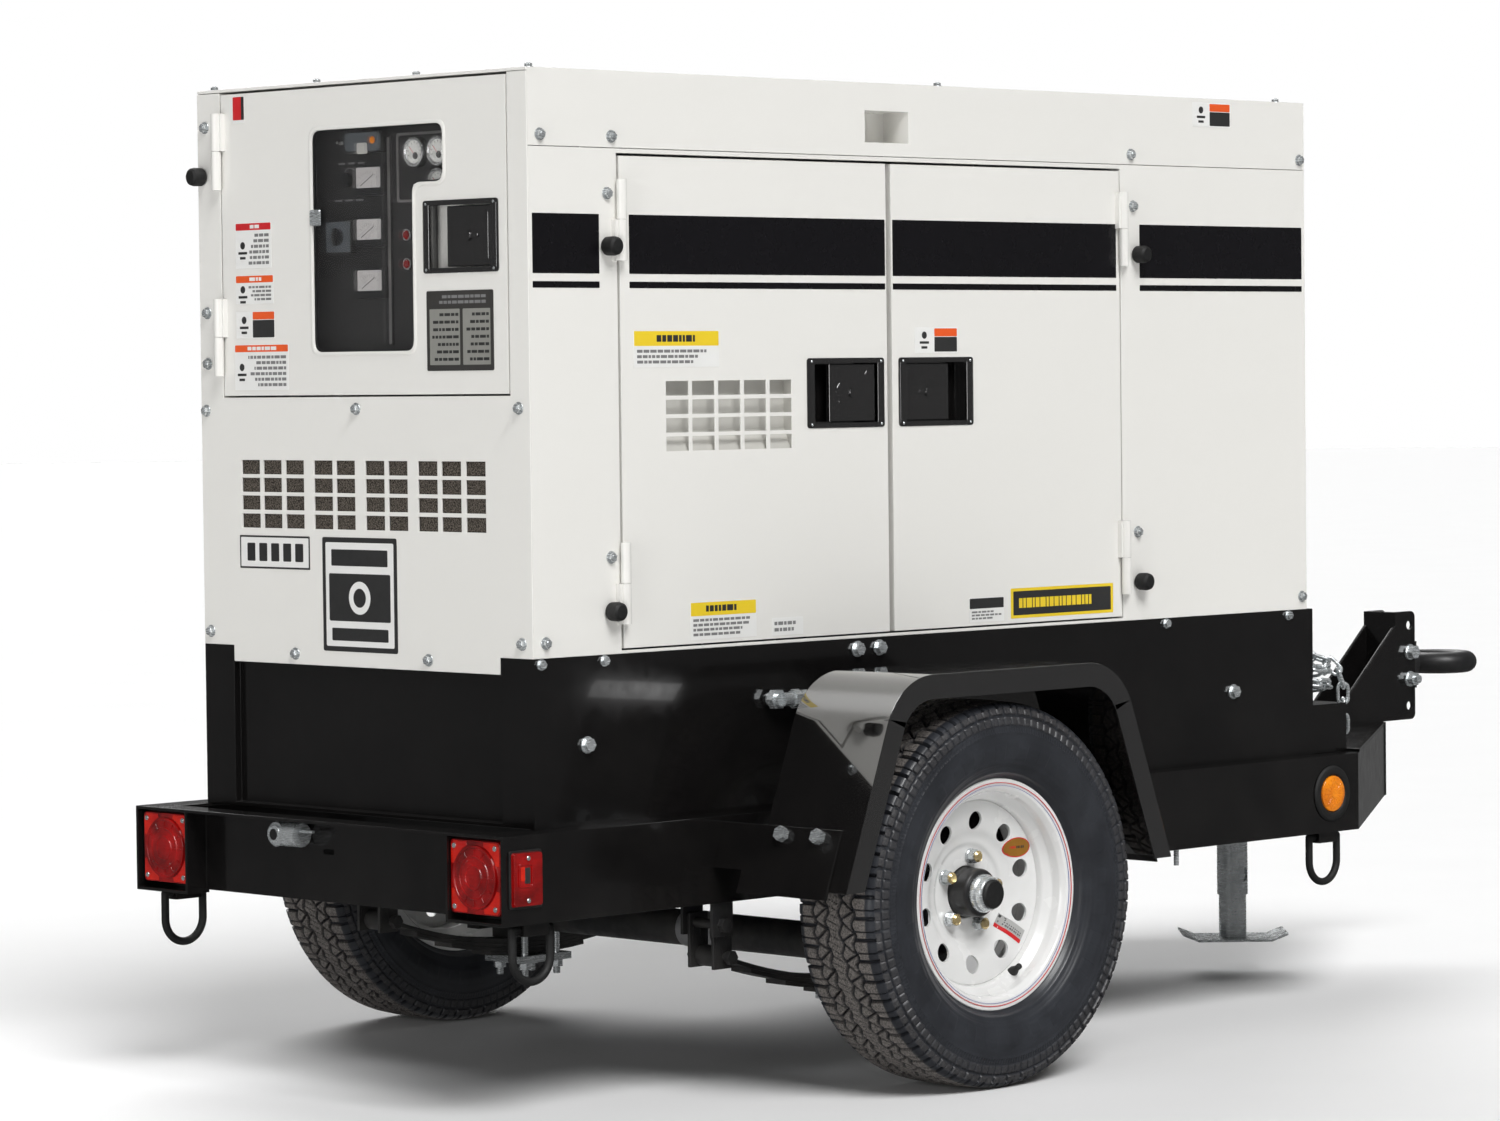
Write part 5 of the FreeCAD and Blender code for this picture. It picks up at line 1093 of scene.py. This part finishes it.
def inset_outline(points, distance):
    """Moves each side of a right-angled outline inwards; a negative distance moves it outwards."""
    result = []
    area = sum(a[0] * b[1] - b[0] * a[1] for a, b in zip(points, points[1:] + points[:1]))
    turn = 1 if area > 0 else -1
    for index, point in enumerate(points):
        here = Vector(point)
        before = (here - Vector(points[index - 1])).normalized()
        after = (Vector(points[(index + 1) % len(points)]) - here).normalized()
        inward = Vector((-before.y, before.x)) * turn + Vector((-after.y, after.x)) * turn
        result.append(tuple(here + inward * distance))
    return result


def window_trim():
    """Rolled lip with round corners on the window opening, a dark seal behind it and the pane's catch."""
    gather = Gather("window_trim")
    place = FACES["rear"]

    def ring(inset, radius, level):
        return [place(*point,
                      REAR_FACE + level) for point in rounded(inset_outline(WINDOW, inset), radius, 6)]

    lip = [ring(-3.5, 21, -0.2), ring(-3.5, 21, 0.6), ring(-1.6, 20, 1.6), ring(0.6, 19, 1.9),
           ring(2.4, 18, 1.2),
           ring(3.0, 18, -0.2), ring(3.0, 18, -2.2), ring(-0.4, 2, -2.2), ring(-0.4, 2, -0.2)]
    add_loops(gather.mesh("white", "door_control"), lip, ring=True)
    seal = [ring(2.8, 18, -3.0), ring(5.5, 17, -3.0), ring(5.5, 17, -4.6), ring(2.8, 18, -4.6)]
    add_loops(gather.mesh("rubber", "door_control"), seal, ring=True)
    catch = gather.mesh("zinc", "door_control")
    add_slab(catch, "rear", rounded(rectangle(88, 1368, 113, 1394), 4, 4), REAR_FACE + 0.4, REAR_FACE + 3.2,
             1.2)
    gather.finish()


# ------------------------------------------------------------------ control panel

PANEL_FACE = 1322


def dial_face(gather, y, z, half_wide, half_high, level, body="chassis"):
    """Square meter: bezel, pale scale plate, arc of ticks and a needle."""
    sticker(gather, "switch", body, "rear", (y - half_wide, z - half_high), (y + half_wide, z + half_high),
            level, 2.0, 3)
    sticker(gather, "meter", body, "rear", (y - half_wide + 4, z - half_high + 12),
            (y + half_wide - 4, z + half_high - 4),
            level + 2.0, 0.3, 2)
    for number in range(9):
        angle = math.radians(40 + 12.5 * number)
        line = []
        for radius, spread in ((20, -0.012), (20, 0.012), (24, 0.012), (24, -0.012)):
            line.append((y + radius * 1.15 * math.cos(angle + spread),
                         z - 10 + radius * math.sin(angle + spread)))
        add_slab(gather.mesh("ink", body), "rear", line, level + 2.25, level + 2.45)
    needle = [(y + 18, z - 9), (y + 19, z - 8), (y - 12, z + 9), (y - 13, z + 8.4)]
    add_slab(gather.mesh("ink", body), "rear", needle, level + 2.25, level + 2.7)


def panel_parts():
    gather = Gather("panel_part", 0.25)
    body, face = "chassis", "rear"
    top = PANEL_FACE
    for z in (1280, 1360, 1441):
        dial_face(gather, -4.5, z - 4, 33, 24, top + 12)
    for y, z in ((-112, 1477), (-167, 1477), (-167, 1427)):
        centre = (-top, y, z)
        bezel = [(17.5, 10), (22, 10), (23.5, 11.5), (23, 14), (20.5, 15), (18, 13)]
        add_lathe(gather.mesh("chrome", body), bezel, centre, "x", 40, -1)
        add_disc(gather.mesh("dial", body), centre, "x", 18.2, 10, 11, 36, 0, -1)
        add_disc(gather.mesh("ink", body), (-top, y - 3, z - 6), "x", 5.5, 11, 13, 24, 0.5, -1)
        for number in range(9):
            angle = math.radians(-20 + 27.5 * number)
            line = [(y + radius * math.cos(angle + spread), z + radius * math.sin(angle + spread))
                    for radius, spread in ((13, -0.03), (13, 0.03), (16.5, 0.03), (16.5, -0.03))]
            add_slab(gather.mesh("ink", body), face, line, top + 10.9, top + 11.3)
        needle = [(y - 3, z - 7), (y - 2, z - 6), (y + 11, z + 7), (y + 10.4, z + 7.6)]
        add_slab(gather.mesh("sticker_red", body), face, needle, top + 11.2, top + 11.7)
    for z in (1304, 1349):
        add_disc(gather.mesh("red_lens", body), (-top, -90, z), "x", 7, 9, 13, 28, 1.5, -1)
        add_lathe(gather.mesh("chrome", body), [(7.2, 9), (9.5, 9), (9.5, 11), (7.2, 11)], (-top, -90, z),
                  "x", 28, -1)
    plate = rounded(rectangle(-200, 1230, -52, 1512), 5, 4)
    add_slab(gather.mesh("panel", body), face, plate, top - 0.1, top + 1.4)
    ridge = rounded(rectangle(-196, 1400, -60, 1508), 6, 4)
    inner = rounded(rectangle(-192, 1404, -64, 1504), 5, 4)
    place = FACES[face]
    loops = [[place(*p, top + lift) for p in ring] for ring,
             lift in ((ridge, 1.3), (ridge, 3.4), (inner, 3.4), (inner, 1.3))]
    add_loops(gather.mesh("dull_steel", body), loops, ring=True)
    sticker(gather, "dull_steel", body, face, (-45, 1180), (-39, 1503), top + 4, 0.8, 1)
    cover = rounded(rectangle(-35, 1482, 49, 1513), 9, 5)
    add_slab(gather.mesh("smoked", body), face, cover, top + 14, top + 18, 3)
    add_disc(gather.mesh("amber_lens", body), (-top, -22, 1499), "x", 6, 17.5, 22, 24, 2, -1)
    shade = rounded(rectangle(-8, 1478, 18, 1496), 4, 4)
    add_slab(gather.mesh("panel_light", body), face, shade, top + 17.5, top + 18.6, 1)
    sticker(gather, "smoked", body, face, (46, 1326), (104, 1374), top + 10, 0.6, 2)
    for number in range(3):
        sticker(gather, "ink_pale", body, face, (20 + number * 24, 1464), (36 + number * 24, 1467), top,
                0.15, 0.5)
        sticker(gather, "ink_pale", body, face, (24 + number * 26, 1406), (42 + number * 26, 1409), top,
                0.15, 0.5)
    arc = [(56 + r * math.cos(math.radians(a)), 1440 + r * math.sin(math.radians(a)))
           for r, sweep in ((19, range(30, 151, 10)), (17.6, range(150, 29, -10))) for a in sweep]
    mesh = gather.mesh("ink_pale", body)
    half = len(arc) // 2
    for k in range(half - 1):
        quad = [arc[k], arc[k + 1], arc[2 * half - 2 - k], arc[2 * half - 1 - k]]
        add_slab(mesh, face, quad, top - 0.02, top + 0.15)
    for y in (-330, 318):
        for z in (1120, 1340, 1560):
            add_disc(gather.mesh("zinc", body), (-top, y, z), "x", 5, 0, 3, 20, 0.8, -1)
    for number in range(4):
        y = 170 + 40 * number
        add_disc(gather.mesh("gold", body), (-top, y, 1190), "x", 9, 6, 9, 24, 0.5, -1)
        add_hexagon(gather.mesh("gold", body), (-top, y, 1190), "x", 15, 9, 14, 0.2, -1)
    gather.finish()


# ------------------------------------------------------------------ lamps

def lamp_parts():
    """Square tail lamps with ringed lenses, flat side markers and round amber markers in rubber grommets."""
    gather = Gather("lamp", 0.4)
    for side in (RIGHT, LEFT):
        label = mirrored_side(side)
        mid = side * 375
        rear = 1461
        mesh = gather.mesh("satin", "chassis")
        add_slab(mesh, "rear", rounded(rectangle(mid - 57, 318, mid + 57, 432), 7, 4), rear - 30, rear - 9)
        mesh = gather.mesh("red_lens", "chassis")
        add_slab(mesh, "rear", rounded(rectangle(mid - 56.5, 318.5, mid + 56.5, 431.5), 8, 5), rear - 9.2,
                 rear - 1.5, 1.2)
        dome = [(0.4, 3.5), (16, 3.2), (17, 4.4), (19, 4.4), (20, 2.9), (30, 2.2), (31, 3.3), (33, 3.3),
                (34, 1.8),
                (44, 0.8), (45, 2.2), (48.5, 2.2), (49.5, -1.5), (49.5, -4), (0.4, -4)]
        add_lathe(mesh, dome, (-rear, mid, 375), "x", 64, -1)
        for number in range(12):
            angle = math.tau * number / 12
            ribs = [(mid + r * math.cos(angle + s), 375 + r * math.sin(angle + s))
                    for r, s in ((21, -0.03), (21, 0.03), (43, 0.02), (43, -0.02))]
            add_slab(mesh, "rear", ribs, rear - 1, rear + 2.6)
        # Painted glow: the four lens corners outside the ringed dome get brighter emissive red patches that
        # stand in for a highlight, not a lit lamp.
        arc = [(50.6 * math.cos(math.radians(a)),
                50.6 * math.sin(math.radians(a))) for a in range(69, 20, -6)]
        corner = [(54, 19.5), (54, 48), (48, 54), (19.5, 54)] + arc
        for turn_y, turn_z in ((1, 1), (1, -1), (-1, 1), (-1, -1)):
            glow = [(mid + turn_y * a, 375 + turn_z * b) for a, b in corner]
            add_slab(gather.mesh("red_glow", "chassis"), "rear", glow, rear - 2.2, rear - 0.9)
        for y in (mid - 46, mid + 46):
            for z in (329, 421):
                add_disc(gather.mesh("chrome", "chassis"), (-rear, y, z), "x", 4.2, -2, 2.2, 16, 1.2, -1)
        face = label
        add_slab(gather.mesh("satin", "chassis"), face, rounded(rectangle(-1455, 330, -1390, 418), 4, 4),
                 444, 447)
        add_slab(mesh, face, rounded(rectangle(-1452, 333, -1393, 415), 5, 4), 446.8, 453, 1.5)
        # Painted glow: a small emissive red strip on the side marker lens, standing in for a highlight.
        add_slab(gather.mesh("red_glow", "chassis"), face,
                 rounded(rectangle(-1438, 372, -1429.5, 394), 2, 3), 452.5, 453.5)
        add_slab(gather.mesh("ink", "chassis"), face, rounded(rectangle(-1430, 368, -1419, 392), 2, 3),
                 452.5, 453.7)
        frame_ring = []
        for grow, lift in ((0, 0), (0, 2.2), (2.4, 2.2), (2.4, 0)):
            outline = rounded(rectangle(-1440 - grow, 365 - grow, -1416 + grow, 396 + grow), 3, 4)
            frame_ring.append([FACES[face](*point, 452.6 + lift) for point in outline])
        add_loops(mesh, frame_ring, ring=True)
        for z in (342, 406):
            add_disc(gather.mesh("chrome", "chassis"), (-1422.5, 0, z), "y", 3.8, 452.5, 455, 16, 1.0, side)
        ring = [(32.6, 0.2), (49.5, 0.2), (49.5, 2.0), (46, 4.8), (40, 5.6), (35, 4.6), (32.6, 2.5)]
        add_lathe(gather.mesh("rubber", "chassis"), rounded(ring, 1.2, 3), (504, side * 444, 373), "y", 64,
                  side)
        amber = [(0.4, 8.2), (8, 8.0), (9, 7.2), (18, 7.2), (19, 7.8), (27, 7.0), (31.5, 4.5), (31.8, 0.2),
                 (0.4, 0.2)]
        add_lathe(gather.mesh("amber_lens", "chassis"), amber, (504, side * 444, 373), "y", 64, side)
        for number in range(16):
            angle = math.tau * number / 16
            ribs = [(504 + r * math.cos(angle + s), 373 + r * math.sin(angle + s))
                    for r, s in ((10, -0.05), (10, 0.05), (27, 0.03), (27, -0.03))]
            add_slab(gather.mesh("amber_lens", "chassis"), face, ribs, 451, 452)
    gather.finish()
    for name in ("lamp_red_lens_chassis", "lamp_satin_chassis", "lamp_amber_lens_chassis",
                 "lamp_rubber_chassis"):
        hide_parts("marker_lamps")


# ------------------------------------------------------------------ front panel and small things

def louvre_blades():
    """Sloped blades in the discharge openings."""
    gather = Gather("louvre", 0.4)
    mesh = gather.mesh("white", "chassis")
    for middle in (-160, 160):
        for z in range(860, 1360, 50):
            section = [(495.5, z + 22), (498.3, z + 22), (484, z - 8), (481, z - 6)]
            loops = [[(x, middle + end, level) for x, level in section] for end in (-141, 141)]
            add_loops(mesh, loops)
    gather.finish()


def small_parts():
    gather = Gather("fitting", 0.3)
    band = [(30.2, -22), (31, -22), (31, 60), (30.2, 60)]
    add_lathe(gather.mesh("alloy", "axle"), band, (-654, -60, 203), "y", 48, 1)
    add_disc(gather.mesh("zinc", "chassis"), (-1464, 95, 413), "x", 14, -4, 1, 32, 1, -1)
    add_disc(gather.mesh("switch", "chassis"), (-1464, 95, 413), "x", 9, 0.5, 2, 32, 0.5, -1)
    gather.finish()


tyre_piece(RIGHT)
tyre_piece(LEFT)
rim_piece(RIGHT)
rim_piece(LEFT)
enclosure_bolts()
stripes()
door_labels()
rear_labels()
all_latches()
door_stops()
grille_backing()
window_trim()
panel_parts()
lamp_parts()
louvre_blades()
small_parts()


# ------------------------------------------------------------------ camera, light and floor

CAMERA_AT = Vector((-6.41932, -5.97793, 1.12921))
YAW, PITCH, ROLL = (math.radians(value) for value in (45.28, -2.16, 0.64))
FOCAL_PIXELS = 4983.18
PHOTO_SIZE = (1500, 1121)
SENSOR = 36.0


def add_camera():
    forward = Vector((math.cos(YAW) * math.cos(PITCH), math.sin(YAW) * math.cos(PITCH), math.sin(PITCH)))
    right = Vector((math.sin(YAW), -math.cos(YAW), 0))
    down = -right.cross(forward)
    right, down = (right * math.cos(ROLL) + down * math.sin(ROLL),
                   down * math.cos(ROLL) - right * math.sin(ROLL))
    data = bpy.data.cameras.new("camera")
    data.sensor_width = SENSOR
    data.lens = FOCAL_PIXELS * SENSOR / PHOTO_SIZE[0]
    data.clip_end = 200
    camera = bpy.data.objects.new("camera", data)
    bpy.context.scene.collection.objects.link(camera)
    turn = Matrix((right, -down, -forward)).transposed().to_4x4()
    camera.matrix_world = Matrix.Translation(CAMERA_AT) @ turn
    bpy.context.scene.camera = camera


def add_area(name, at, target, size, power, colour=(1, 1, 1)):
    data = bpy.data.lights.new(name, "AREA")
    data.shape = "RECTANGLE"
    data.size, data.size_y = size
    data.energy = power
    data.color = colour
    lamp = bpy.data.objects.new(name, data)
    bpy.context.scene.collection.objects.link(lamp)
    lamp.location = at
    lamp.rotation_euler = (Vector(target) - Vector(at)).to_track_quat("-Z", "Y").to_euler()


def add_sun(name, towards, strength, angle):
    """Soft directional light; towards points from the object to the light."""
    data = bpy.data.lights.new(name, "SUN")
    data.energy = strength
    data.angle = math.radians(angle)
    lamp = bpy.data.objects.new(name, data)
    bpy.context.scene.collection.objects.link(lamp)
    lamp.rotation_euler = Vector(towards).to_track_quat("Z", "Y").to_euler()


def add_studio():
    world = bpy.data.worlds.new("studio")
    bpy.context.scene.world = world
    world.use_nodes = True
    background = world.node_tree.nodes["Background"]
    background.inputs["Color"].default_value = (1, 1, 1, 1)
    background.inputs["Strength"].default_value = 0.12
    add_sun("key", (-0.22, -0.6, 0.7), 2.65, 30)
    add_sun("fill", (0.4, 0.62, 0.62), 1.6, 40)
    add_area("box_left", (-7.2, -2.0, 1.5), (-0.7, -0.4, 1.0), (1.3, 2.4), 80)


def add_floor():
    """A pale floor disc, and a plain white surround that only the camera sees."""
    material, tree, shader = new_material("floor_look")
    graph = Graph(tree)
    graph.link(graph.mix(graph.noise(3, 3), (0.9, 0.9, 0.9), (0.93, 0.93, 0.93)), shader.inputs["Base Color"])
    shader.inputs["Roughness"].default_value = 0.7
    shader.inputs["Specular IOR Level"].default_value = 0.1
    mesh = bmesh.new()
    bmesh.ops.create_circle(mesh, cap_ends=True, segments=96, radius=60)
    floor = add_stage_mesh("floor", mesh, material)
    floor.visible_glossy = False
    material, tree, shader = new_material("surround_look")
    shader.inputs["Base Color"].default_value = (0, 0, 0, 1)
    shader.inputs["Specular IOR Level"].default_value = 0
    shader.inputs["Emission Color"].default_value = (1, 1, 1, 1)
    shader.inputs["Emission Strength"].default_value = 1.0
    mesh = bmesh.new()
    bmesh.ops.create_icosphere(mesh, subdivisions=4, radius=62)
    surround = add_stage_mesh("surround", mesh, material)
    surround.visible_diffuse = False
    surround.visible_glossy = False
    surround.visible_transmission = False
    surround.visible_shadow = False


def add_stage_mesh(name, mesh, material):
    data = bpy.data.meshes.new(name)
    mesh.to_mesh(data)
    mesh.free()
    obj = bpy.data.objects.new(name, data)
    data.materials.append(material)
    bpy.context.scene.collection.objects.link(obj)
    return obj


add_camera()
add_studio()
add_floor()
bpy.context.scene.view_settings.view_transform = "Standard"
